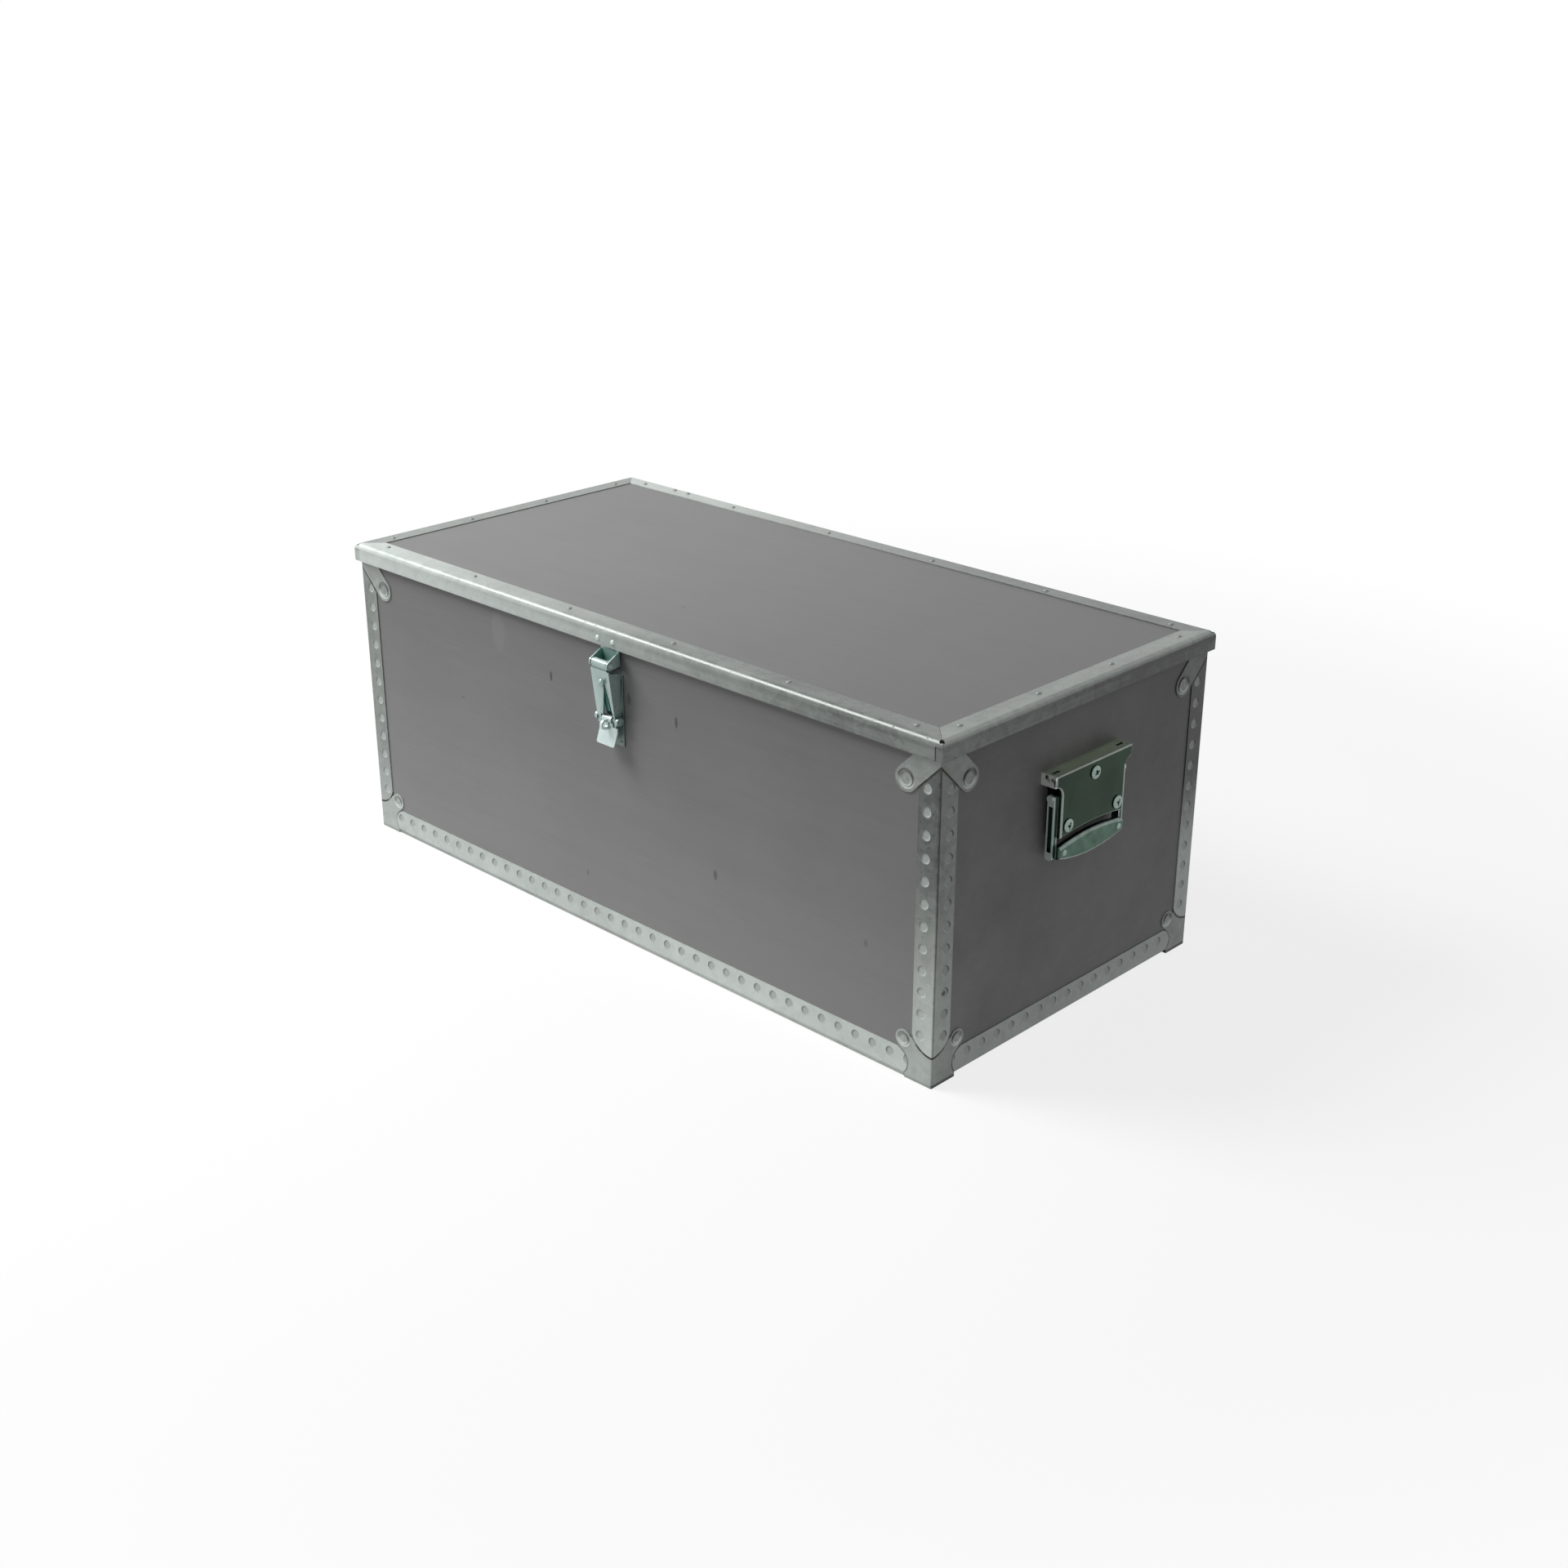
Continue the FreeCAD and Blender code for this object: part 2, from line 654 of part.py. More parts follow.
hinge_bore = hinge_shank_radius + rivet_clearance
case_hinge_rivets = []
lid_hinge_rivets = []
lid_rivet_z = leaf_high - hinge_leaf_height / 2
for run in (-hinge_rivet_pitch / 2, hinge_rivet_pitch / 2):
    low_seat = hinge_place(run, hinge_sheet, joggle_low - hinge_rivet_rise)
    case_leaf = drilled(case_leaf, low_seat, axis_y, hinge_bore, hinge_sheet)
    case_hinge_rivets.append(rivet(low_seat, axis_y, hinge_head_radius, hinge_head_height, hinge_shank_radius,
                                   hinge_sheet + rivet_grip))
    high_seat = hinge_place(run, leaf_out, lid_rivet_z)
    lid_leaf = drilled(lid_leaf, high_seat, axis_y, hinge_bore, hinge_sheet)
    lid_hinge_rivets.append(rivet(high_seat, axis_y, hinge_head_radius, hinge_head_height, hinge_shank_radius,
                                  hinge_sheet + sheet))
    for side in ends.values():
        shift = axis_x * (side * hinge_at)
        back_panel = drilled(back_panel, low_seat + shift, axis_y, hinge_bore, hinge_sheet + rivet_grip)
        rims["back"] = drilled(rims["back"], high_seat + shift, axis_y, hinge_bore, hinge_sheet + sheet)


# Latch, in the middle of the front: run along X, distance out from the panel, height
def latch_place(run, out, height):
    return Vector(run, -face_y - out, height)


def cheek(section, inner, outer):
    """Pair of side walls from one section drawn at run 0."""
    wall = section.extrude(axis_x * (outer - inner))
    return wall.translated(axis_x * inner).fuse(wall.translated(axis_x * -outer))


out_axis = Vector(0, -1, 0)
pin_z = skirt_z - hasp_pin_drop
bracket_back = skirt_out - sheet - bracket_sheet
ear_inner = latch_half - bracket_sheet
ear_top = skirt_z - ear_top_drop
bracket_plate = block(latch_place(-bracket_left, bracket_back + bracket_sheet, skirt_z - latch_gap),
                      latch_place(bracket_right, bracket_back, fold_z - bracket_top_gap))
ear_foot = ear_top - ear_root
bracket_root = block(latch_place(-latch_half, bracket_back + bracket_sheet, ear_foot),
                     latch_place(latch_half, bracket_back, skirt_z))
ear = outline(latch_place(0, bracket_back, ear_top), latch_place(0, ear_slope_out, ear_top),
              latch_place(0, hasp_pin_out + ear_radius / 2, pin_z + ear_radius * sixty_share),
              (latch_place(0, hasp_pin_out + ear_radius, pin_z),
               latch_place(0, hasp_pin_out, pin_z - ear_radius)), latch_place(0, bracket_back, ear_foot))
pin_axis_at = latch_place(0, hasp_pin_out, pin_z)


def through(centre, radius, half):
    return rod(centre - axis_x * half, axis_x, radius, 2 * half)


bracket = bracket_plate.fuse(bracket_root).fuse(cheek(ear, ear_inner, latch_half))
bracket = bracket.cut(through(pin_axis_at, hasp_pin_radius + pin_fit, case_width)).removeSplitter()

bracket_rivets = []
for run in (-bracket_rivet_left, bracket_rivet_right):
    seat = latch_place(run, skirt_out, skirt_z + bracket_rivet_height)
    length = sheet + bracket_sheet
    bracket_rivets.append(rivet(seat, out_axis, lid_rivet_head, lid_rivet_crown, lid_rivet_shank, length))
    rims["front"] = drilled(rims["front"], seat, out_axis, lid_rivet_shank + rivet_clearance, length)
    bracket = drilled(bracket, seat, out_axis, lid_rivet_shank + rivet_clearance, length)


def headed_pin(centre, radius, half, head_radius, head_height):
    pin = through(centre, radius, half)
    for side in (1, -1):
        pin = pin.fuse(rod(centre + axis_x * (side * half), axis_x * side, head_radius, head_height))
    return pin.removeSplitter()


hasp_pin = headed_pin(pin_axis_at, hasp_pin_radius, latch_half, pin_head_radius, pin_head_height)

# Hasp: rolled knuckle, leaning front plate forked by a slanting window, side cheeks down to the cross pin
hasp_top_out = hasp_pin_out + knuckle_radius
hasp_foot_z = pin_z - hasp_length
lean = (hasp_top_out - hasp_foot_out) / hasp_length


def plate_out(height):
    return hasp_foot_out + (height - hasp_foot_z) * lean


cheek_top = pin_z - hasp_cheek_drop
shoulder_z = pin_z - hasp_shoulder
lever_z = pin_z - lever_pin_drop
hasp_plate = across(outline(latch_place(0, hasp_top_out, pin_z),
                            latch_place(0, hasp_top_out - latch_sheet, pin_z),
                            latch_place(0, hasp_foot_out - latch_sheet, hasp_foot_z),
                            latch_place(0, hasp_foot_out, hasp_foot_z)), latch_half)
hasp_cheeks = cheek(outline(latch_place(0, plate_out(cheek_top) - latch_sheet / 2, cheek_top),
                            latch_place(0, hasp_back, cheek_top - hasp_cheek_slant),
                            latch_place(0, hasp_back, lever_z + lever_knuckle),
                            latch_place(0, lever_pin_out - lever_knuckle, lever_z - lever_pin_radius),
                            latch_place(0, lever_pin_out, hasp_foot_z),
                            latch_place(0, hasp_foot_out - latch_sheet / 2, hasp_foot_z)),
                    latch_half - latch_sheet, latch_half)
shoulder = block(latch_place(ear_inner - latch_gap, hasp_top_out + overrun, shoulder_z),
                 latch_place(latch_half + overrun, 0, pin_z + overrun))
fork_z = lever_z + lever_knuckle + latch_gap
window = outline(latch_place(window_top_left, 0, pin_z - window_top),
                 latch_place(window_top_right, 0, pin_z - window_top),
                 latch_place(window_right, 0, fork_z),
                 latch_place(window_right, 0, hasp_foot_z - overrun),
                 latch_place(-window_foot_half, 0, hasp_foot_z - overrun),
                 latch_place(-window_foot_half, 0, fork_z),
                 latch_place(-window_left, 0, fork_z))
hasp = hasp_plate.fuse(hasp_cheeks).cut(window.extrude(out_axis * (hasp_top_out + overrun)))
hasp = hasp.cut(shoulder).cut(shoulder.mirror(origin, axis_x))
hasp = hasp.fuse(through(pin_axis_at, knuckle_radius, ear_inner - latch_gap))
hasp = hasp.cut(through(pin_axis_at, hasp_pin_radius + pin_fit, case_width))
lever_axis_at = latch_place(0, lever_pin_out, lever_z)
hasp = hasp.cut(through(lever_axis_at, lever_pin_radius + pin_fit, case_width)).removeSplitter()
lever_pin = headed_pin(lever_axis_at, lever_pin_radius, latch_half, lever_knob_radius, lever_knob_height)

# Leaf spring behind the hasp, and the domed rivet that holds it, square to the leaning plate
spring_z = pin_z - spring_top
bend_z = pin_z - spring_bend
tip_z = pin_z - spring_length


def behind(height, depth):
    return latch_place(0, plate_out(height) - latch_sheet - depth, height)


spring = across(outline(behind(spring_z, 0), behind(bend_z, 0), latch_place(0, spring_tip_out, tip_z),
                        latch_place(0, spring_tip_out - spring_sheet, tip_z), behind(bend_z, spring_sheet),
                        behind(spring_z, spring_sheet)), spring_half)
square = math.hypot(1, lean)
dome_axis = Vector(0, -1 / square, -lean / square)
dome_seat = latch_place(0, plate_out(pin_z - dome_drop), pin_z - dome_drop)
dome_length = latch_sheet + spring_sheet
dome_rivet = rivet(dome_seat, dome_axis, dome_radius, dome_height, dome_shank, dome_length)
dome_hole = rod(dome_seat - dome_axis * (dome_length + overrun), dome_axis, dome_shank + rivet_clearance,
                dome_length + 2 * overrun)
hasp = hasp.cut(dome_hole)
spring = spring.cut(dome_hole)

# Thumb lever: knuckle on the cross pin, claw behind, flared tab below
bend_height = lever_z - lever_bend_drop
tab_z = lever_z - tab_drop
lever_out = lever_pin_out + lever_bend_out
tab_tip = lever_pin_out + tab_out
flare = (tab_tip - lever_out) / (bend_height - tab_z)
flare_drop = lever_sheet * (math.hypot(1, flare) - 1) / flare


def lever_section():
    return outline(latch_place(0, lever_out + lever_sheet / 2, lever_z),
                   latch_place(0, lever_out + lever_sheet / 2, bend_height - flare_drop / 2),
                   latch_place(0, tab_tip + lever_sheet, tab_z),
                   latch_place(0, tab_tip, tab_z),
                   latch_place(0, lever_out - lever_sheet / 2, bend_height),
                   latch_place(0, lever_out - lever_sheet / 2, lever_z))


claw_z = lever_z - claw_drop
claw_tip = lever_pin_out - claw_reach
neck_z = lever_z - lever_neck
lever_neck_part = across(lever_section(), lever_half)
lever_tab = across(lever_section(), latch_half).common(
    block(latch_place(-latch_half, tab_tip + lever_sheet, tab_z), latch_place(latch_half, 0, neck_z)))
claw = across(outline(latch_place(0, lever_out, claw_z + claw_height / 2), latch_place(0, claw_tip, claw_z),
                      latch_place(0, claw_tip, claw_z - claw_height / 2),
                      latch_place(0, lever_out, claw_z - claw_height)), lip_half)
lever = lever_neck_part.fuse(lever_tab).fuse(claw).fuse(through(lever_axis_at, lever_knuckle, lever_half))
lever = lever.cut(through(lever_axis_at, lever_pin_radius + pin_fit, case_width)).removeSplitter()

# Padlock eye: a ring that stands out of the lever's neck
eye_centre = latch_place(0, lever_pin_out + eye_out, lever_z - eye_drop)
eye_web = block(latch_place(-eye_thickness / 2, lever_pin_out + eye_out, lever_z - eye_drop - eye_radius),
                latch_place(eye_thickness / 2, lever_out, lever_z - eye_drop + eye_radius))
padlock_eye = through(eye_centre, eye_radius, eye_thickness / 2).fuse(eye_web)
padlock_eye = padlock_eye.cut(through(eye_centre, eye_hole, eye_thickness)).cut(lever)
padlock_eye = padlock_eye.cut(through(lever_axis_at, lever_knuckle, eye_thickness)).removeSplitter()

# Base on the front panel, with the lip that the claw hooks under
base_top = pin_z - base_top_drop
base_foot = base_top - base_length
lip_z = claw_z + lip_gap
base = block(latch_place(-base_half, base_sheet, base_foot), latch_place(base_half, 0, base_top))
lip = block(latch_place(-lip_half, base_sheet + lip_reach, lip_z),
            latch_place(lip_half, 0, lip_z + lip_thickness))
base = base.fuse(lip).removeSplitter()
base_rivets = []
for run in (base_rivet_in - base_half, base_half - base_rivet_in):
    for height in (base_foot + base_rivet_in, base_top - base_rivet_in):
        seat = latch_place(run, base_sheet, height)
        length = base_sheet + rivet_grip
        hole = base_shank_radius + rivet_clearance
        one = rivet(seat, out_axis, base_head_radius, base_head_height, base_shank_radius, length)
        base_rivets.append(one)
        base = drilled(base, seat, out_axis, hole, length)
        front_panel = drilled(front_panel, seat, out_axis, hole, length)


# Handle, drawn on the +X end: distance out from the panel, run along Y, height
def handle_place(out, run, height):
    return Vector(face_x + out, run, height)


cover_top_z = lid_under - cover_top_drop
cover_foot_z = cover_top_z - cover_height
scoop_z = cover_top_z - cover_ear_height - cover_scoop


def cover_blank(out, inset):
    """Front view of the cover: wide head, scooped shoulders, narrower plate."""
    side = cover_half - inset
    wide = cover_half + cover_scoop - inset
    radius = cover_scoop + inset
    centre = cover_half + cover_scoop
    foot = cover_foot_z + inset
    ear_z = scoop_z + math.sqrt(radius ** 2 - inset ** 2)
    turn = math.acos(inset / radius) / 2
    mid_run = centre - radius * math.cos(turn)
    mid_z = scoop_z + radius * math.sin(turn)
    top = cover_top_z - inset

    def at(run, height):
        return handle_place(out, run, height)

    return outline(at(-side, foot), (at(0, foot + cover_foot_arch), at(side, foot)), at(side, scoop_z),
                   (at(mid_run, mid_z), at(wide, ear_z)), at(wide, top), at(-wide, top), at(-wide, ear_z),
                   (at(-mid_run, mid_z), at(-side, scoop_z)))


cover = cover_blank(0, 0).extrude(axis_x * cover_depth)
cover = rounded(cover, cover_round, lambda edge: on_line(edge, X=face_x + cover_depth))
cover = cover.cut(cover_blank(-overrun, cover_sheet).extrude(axis_x * (cover_depth - cover_sheet + overrun)))
for side in (1, -1):
    slot_run = cover_half + cover_scoop - cover_slot_in
    slot_at = handle_place(cover_depth / 2, side * slot_run, cover_top_z - cover_sheet)
    slot = block(slot_at - Vector(cover_slot_width / 2, cover_slot_half, overrun),
                 slot_at + Vector(cover_slot_width / 2, cover_slot_half, cover_sheet + overrun))
    cover = cover.cut(slot)
pivot_z = cover_top_z - bail_pivot_drop
pivot = handle_place(bail_pivot_out, 0, pivot_z)


def along_y(centre, radius, half):
    return rod(centre - axis_y * half, axis_y, radius, 2 * half)


cover = cover.cut(along_y(pivot, bail_pin_radius + rivet_clearance, case_width))
screws = []
screw_spots = ((0, cover_top_z - screw_top_drop), (screw_foot_at, cover_foot_z + screw_foot_rise),
               (-screw_foot_at, cover_foot_z + screw_foot_rise))
for run, height in screw_spots:
    seat = handle_place(cover_depth, run, height)
    length = cover_depth + rivet_grip
    screws.append(rivet(seat, axis_x, screw_head_radius, screw_head_height, screw_shank, length))
    cover = drilled(cover, seat, axis_x, screw_shank + rivet_clearance, length)
    right_panel = drilled(right_panel, seat, axis_x, screw_shank + rivet_clearance, length)
    mirror_seat = Vector(-seat.x, seat.y, seat.z)
    left_panel = drilled(left_panel, mirror_seat, axis_x * -1, screw_shank + rivet_clearance, length)

arm_inner = cover_half + arm_clearance
arm_outer = arm_inner + arm_width
bail_pin = along_y(pivot, bail_pin_radius, arm_outer + arm_clearance)
for side in (1, -1):
    head_at = pivot + axis_y * (side * (arm_outer + arm_clearance))
    bail_pin = bail_pin.fuse(rod(head_at, axis_y * side, bail_head_radius, bail_head_height))
bail_pin = bail_pin.removeSplitter()

# Bail: two channel arms hung on the pin, joined by a leaf-shaped grip
arm_half = arm_depth / 2
arm_foot_z = pivot_z - arm_length


def arm_at(out, height):
    return handle_place(bail_pivot_out + out, arm_inner, height)


arm = outline(arm_at(-arm_half, pivot_z), (arm_at(0, pivot_z + arm_half), arm_at(arm_half, pivot_z)),
              arm_at(arm_half, arm_foot_z), arm_at(-arm_half, arm_foot_z)).extrude(axis_y * arm_width)
arm = rounded(arm, arm_foot_radius,
              lambda edge: on_line(edge, Z=arm_foot_z) and abs(edge.Length - arm_width) < snap)
groove = block(arm_at(arm_wall - arm_half, arm_foot_z + arm_depth) + axis_y * (arm_width - arm_groove_depth),
               arm_at(arm_half - arm_wall, pivot_z - arm_depth) + axis_y * (arm_width + overrun))
back_arm = arm.cut(groove).cut(along_y(pivot, bail_pin_radius + bail_pin_fit, case_width)).removeSplitter()
front_arm = back_arm.mirror(origin, axis_y)

grip_top = pivot_z - grip_top_drop


def grip_at(run, height):
    return handle_place(grip_back, run, height)


grip_low = grip_top - grip_end_height
grip = outline(grip_at(-arm_inner, grip_top),
               (grip_at(0, grip_top + grip_top_crown), grip_at(arm_inner, grip_top)),
               grip_at(arm_inner, grip_low),
               (grip_at(0, grip_low - grip_foot_crown), grip_at(-arm_inner, grip_low)))
grip = grip.extrude(axis_x * grip_thickness)
grip = rounded(grip, grip_round, lambda edge: edge.Curve.TypeId == "Part::GeomCircle")

# Pieces out
for name, (side_x, side_y) in quadrants.items():
    save("corner_edge_" + name, mirrored(upright, side_x, side_y))
    save("top_corner_" + name, mirrored(strap, side_x, side_y))
    save("bottom_corner_" + name, mirrored(cap, side_x, side_y))
save("corner_rivets", *[mirrored(one, side_x, side_y)
                        for side_x, side_y in quadrants.values() for one in corner_rivets])
save("bottom_edge_front", front_strip)
save("bottom_edge_back", front_strip.mirror(origin, axis_y))
for name, rim in rims.items():
    save("lid_edge_" + name, rim)
panels = {"front": front_panel, "back": back_panel, "right": right_panel, "left": left_panel,
          "bottom": bottom_panel, "lid": lid_panel}
for name, panel in panels.items():
    save(name + "_panel", panel)
save("lid_rivets", *lid_rivets)
for name, side in ends.items():
    save("bottom_edge_" + name, mirrored(end_strip, side, -1))
    shift = axis_x * (side * hinge_at)
    save("hinge_leaf_case_" + name, case_leaf.translated(shift))
    save("hinge_leaf_lid_" + name, lid_leaf.translated(shift))
    save("hinge_pin_" + name, hinge_pin.translated(shift))
    save("handle_cover_" + name, mirrored(cover, side, -1))
    save("handle_pin_" + name, mirrored(bail_pin, side, -1))
    save("handle_arm_front_" + name, mirrored(front_arm, side, -1))
    save("handle_arm_back_" + name, mirrored(back_arm, side, -1))
    save("handle_grip_" + name, mirrored(grip, side, -1))
shifts = [axis_x * (side * hinge_at) for side in ends.values()]
save("hinge_case_rivets", *[one.translated(shift) for shift in shifts for one in case_hinge_rivets])
save("hinge_lid_rivets", *[one.translated(shift) for shift in shifts for one in lid_hinge_rivets])
save("handle_screws", *[mirrored(one, side, -1) for side in ends.values() for one in screws])
save("latch_bracket", bracket)
save("latch_bracket_rivets", *bracket_rivets)
save("hasp_pin", hasp_pin)
save("latch_hasp", hasp)
save("latch_spring", spring)
save("latch_dome_rivet", dome_rivet)
save("lever_pin", lever_pin)
save("latch_lever", lever)
save("padlock_eye", padlock_eye)
save("latch_base", base)
save("latch_base_rivets", *base_rivets)
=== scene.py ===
import json
import math
import bmesh
import bpy
from mathutils import Matrix, Vector

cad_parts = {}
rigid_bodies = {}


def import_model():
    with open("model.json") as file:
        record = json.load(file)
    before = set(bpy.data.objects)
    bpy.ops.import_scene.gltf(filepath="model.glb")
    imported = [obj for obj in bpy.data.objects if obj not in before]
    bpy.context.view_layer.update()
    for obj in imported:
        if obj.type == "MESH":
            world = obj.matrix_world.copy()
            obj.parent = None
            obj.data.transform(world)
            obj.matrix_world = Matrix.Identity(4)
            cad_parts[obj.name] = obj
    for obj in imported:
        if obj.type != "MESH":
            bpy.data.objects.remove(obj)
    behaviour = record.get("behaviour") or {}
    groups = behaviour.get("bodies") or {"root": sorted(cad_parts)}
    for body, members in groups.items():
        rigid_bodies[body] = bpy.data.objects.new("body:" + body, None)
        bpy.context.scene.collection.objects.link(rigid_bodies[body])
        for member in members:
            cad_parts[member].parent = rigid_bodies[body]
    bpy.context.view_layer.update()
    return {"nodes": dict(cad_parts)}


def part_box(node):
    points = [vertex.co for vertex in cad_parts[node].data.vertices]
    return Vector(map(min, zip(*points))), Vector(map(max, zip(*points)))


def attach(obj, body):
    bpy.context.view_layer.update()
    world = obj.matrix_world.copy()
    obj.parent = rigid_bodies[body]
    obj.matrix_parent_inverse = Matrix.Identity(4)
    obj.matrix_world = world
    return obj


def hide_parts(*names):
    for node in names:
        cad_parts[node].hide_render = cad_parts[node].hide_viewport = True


for spare in list(bpy.data.objects):
    bpy.data.objects.remove(spare)
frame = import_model()


# Box panels. Birch plywood 9 mm thick with a grey phenolic film pressed on both faces, sawn to size,
# so the brown and pale veneers show at the cut edges. They are held only by the steel strips.

class Finish:
    """A socket in a finish's node tree. Arithmetic on it adds Math nodes."""

    def __init__(self, tree, socket=None):
        self.tree = tree
        self.socket = socket

    def node(self, kind, settings=None, inputs=None, output=0):
        made = self.tree.nodes.new("ShaderNode" + kind)
        for key, value in (settings or {}).items():
            setattr(made, key, value)
        for key, value in (inputs or {}).items():
            if isinstance(value, Finish):
                self.tree.links.new(value.socket, made.inputs[key])
            else:
                made.inputs[key].default_value = value
        return Finish(self.tree, made.outputs[output])

    def math(self, operation, *values):
        return self.node("Math", {"operation": operation}, dict(enumerate((self,) + values)))

    def __add__(self, other):
        return self.math("ADD", other)

    def __sub__(self, other):
        return self.math("SUBTRACT", other)

    def __mul__(self, other):
        return self.math("MULTIPLY", other)

    def __rsub__(self, other):
        return self.node("Math", {"operation": "SUBTRACT"}, {0: other, 1: self})

    __radd__ = __add__
    __rmul__ = __mul__

    def __abs__(self):
        return self.math("ABSOLUTE")

    def step(self, low, high):
        return self.node("MapRange", {"interpolation_type": "SMOOTHSTEP"},
                         {"Value": self, "From Min": low, "From Max": high})

    def blend(self, low, high):
        """Colour between two colours, with this socket as the share of the second."""
        return self.node("Mix", {"data_type": "RGBA"}, {0: self, 6: low, 7: high}, 2)

    def noise(self, scale, stretch=(1, 1, 1), detail=4):
        laid = self.node("Mapping", None, {"Vector": self, "Scale": stretch})
        return self.node("TexNoise", None,
                         {"Vector": laid, "Scale": scale, "Detail": detail, "Roughness": 0.6})

    def cells(self, scale, output, stretch=(1, 1, 1)):
        laid = self.node("Mapping", None, {"Vector": self, "Scale": stretch})
        return self.node("TexVoronoi", None, {"Vector": laid, "Scale": scale}, output)

    def part(self, axis):
        return self.node("SeparateXYZ", None, {"Vector": self}, axis)

    def dent(self, distance, strength):
        return self.node("Bump", None, {"Height": self, "Distance": distance, "Strength": strength})

    def shade(self, inputs):
        shader = self.tree.nodes["Principled BSDF"]
        for key, value in inputs.items():
            if isinstance(value, Finish):
                self.tree.links.new(value.socket, shader.inputs[key])
            else:
                shader.inputs[key].default_value = value


def finish(name):
    made = bpy.data.materials.new(name)
    made.use_nodes = True
    start = Finish(made.node_tree)
    return made, start, start.node("TexCoord", output="Object")


def film_ply(panel, thin, run, level, figure, clouds, painted_light_ramp=None, knots=()):
    """Film-faced plywood on a panel. thin is the axis through the board, run the axis of the grain.
    The light ramp is an axis, two places on it and how much darker the film is painted at the second, as
    painted light and shade. Each knot is a place in x and z, half its width and height, its depth of colour
    and its colour."""
    made, start, place = finish("film_ply_" + panel)
    slow, fine = [30.0, 30.0, 30.0], [520.0, 520.0, 520.0]
    slow[run], fine[run] = 2.2, 14.0
    cloud = place.noise(9.0, detail=5)
    streak = place.noise(1.0, slow, 5)
    fibre = place.noise(1.0, fine, 2)
    tone = level + (cloud - 0.5) * clouds + (streak - 0.5) * figure + (fibre - 0.5) * 0.3
    if painted_light_ramp:
        axis, first, second, share = painted_light_ramp
        tone = tone + (0.5 - place.part(axis).step(first, second)) * share
    film = (tone * 0.5 + 0.5).blend((0.072, 0.072, 0.074, 1), (0.280, 0.278, 0.278, 1))
    grow = [1.0, 1.0, 1.0]
    grow[run] = 0.42
    pore = 1 - place.cells(21.0, "Distance", grow).step(0.012, 0.045)
    rare = place.cells(21.0, "Color", grow).part(0).step(0.85, 0.88)
    film = (pore * rare * 0.5).blend(film, (0.080, 0.074, 0.070, 1))
    for at_x, at_z, half_wide, half_tall, depth, colour in knots:
        over_x = (place.part(0) - at_x) * (1 / half_wide)
        over_z = (place.part(2) - at_z) * (1 / half_tall)
        ragged = (place.noise(150.0) - 0.5) * 0.9
        spot = 1 - (over_x * over_x + over_z * over_z + ragged).step(0.30, 1.15)
        film = (spot * depth).blend(film, colour)
    low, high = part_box(panel)
    veneer_thick = 0.0014
    sawn = 0.0
    for axis in {0, 1, 2} - {thin}:
        reach = abs(place.part(axis) - (low[axis] + high[axis]) / 2)
        half = (high[axis] - low[axis]) / 2
        sawn = reach.step(half - 0.0003, half - 0.0001).math("MAXIMUM", sawn)
    layer = (place.part(thin) * (1 / veneer_thick)).math("PINGPONG", 1.0).step(0.4, 0.6)
    veneer = layer.blend((0.30, 0.19, 0.11, 1), (0.55, 0.41, 0.26, 1))
    veneer = (place.noise(900.0) * 0.5).blend(veneer, (0.20, 0.12, 0.07, 1))
    rough = 0.50 + (cloud - 0.5) * 0.16 + (streak - 0.5) * 0.12 + sawn * 0.3
    start.shade({"Base Color": sawn.blend(film, veneer), "Roughness": rough, "Specular IOR Level": 0.4,
                 "Normal": (fibre * 0.5 + streak).dent(0.0004, 0.25)})
    frame["nodes"][panel].data.materials[0] = made


x_axis, y_axis, z_axis = range(3)
# Painted light and shade: walls and ends paler low down, the lid paler on the left and darker on the right.
wall_painted_light = (z_axis, 0.02, 0.31, 0.6)
end_painted_light = (z_axis, 0.02, 0.31, 0.8)
lid_painted_light = (x_axis, -0.30, 0.42, 0.44)
black, brown, grey = (0.045, 0.040, 0.037, 1), (0.060, 0.055, 0.050, 1), (0.090, 0.084, 0.080, 1)
front_knots = (
    (-0.0930, 0.2530, 0.0022, 0.0060, 0.75, black),
    (0.0201, 0.2590, 0.0032, 0.0065, 0.60, brown),
    (0.0847, 0.2530, 0.0022, 0.0060, 0.75, black),
    (0.1337, 0.1153, 0.0028, 0.0062, 0.60, (0.070, 0.064, 0.060, 1)),
    (-0.0496, 0.0572, 0.0022, 0.0040, 0.35, grey),
    (0.3210, 0.1125, 0.0026, 0.0046, 0.35, grey),
    (-0.1722, 0.2800, 0.0120, 0.0230, 0.30, (0.320, 0.318, 0.318, 1)))
# The level is set per panel as painted shade: the ends and the lid get a darker film than the front and back.
film_ply("front_panel", y_axis, x_axis, 0.68, 0.56, 0.6, wall_painted_light, front_knots)
film_ply("back_panel", y_axis, x_axis, 0.68, 0.56, 0.6, wall_painted_light)
film_ply("right_panel", x_axis, y_axis, 0.34, 0.65, 3.4, end_painted_light)
film_ply("left_panel", x_axis, y_axis, 0.34, 0.65, 3.4, end_painted_light)
film_ply("bottom_panel", z_axis, x_axis, 0.5, 0.8, 0.8)
film_ply("lid_panel", z_axis, x_axis, 0.24, 0.56, 0.7, lid_painted_light)


# Edge strips. Hot-dip galvanised sheet steel 1 mm thick, folded to an angle and pressed down in rows of round
# marks that bite into the plywood. Their tone is painted light and shade, with painted shadow and highlight
# in the rims of the marks, and painted shade with grime in the seams.

half_x, half_y = 0.400, 0.191


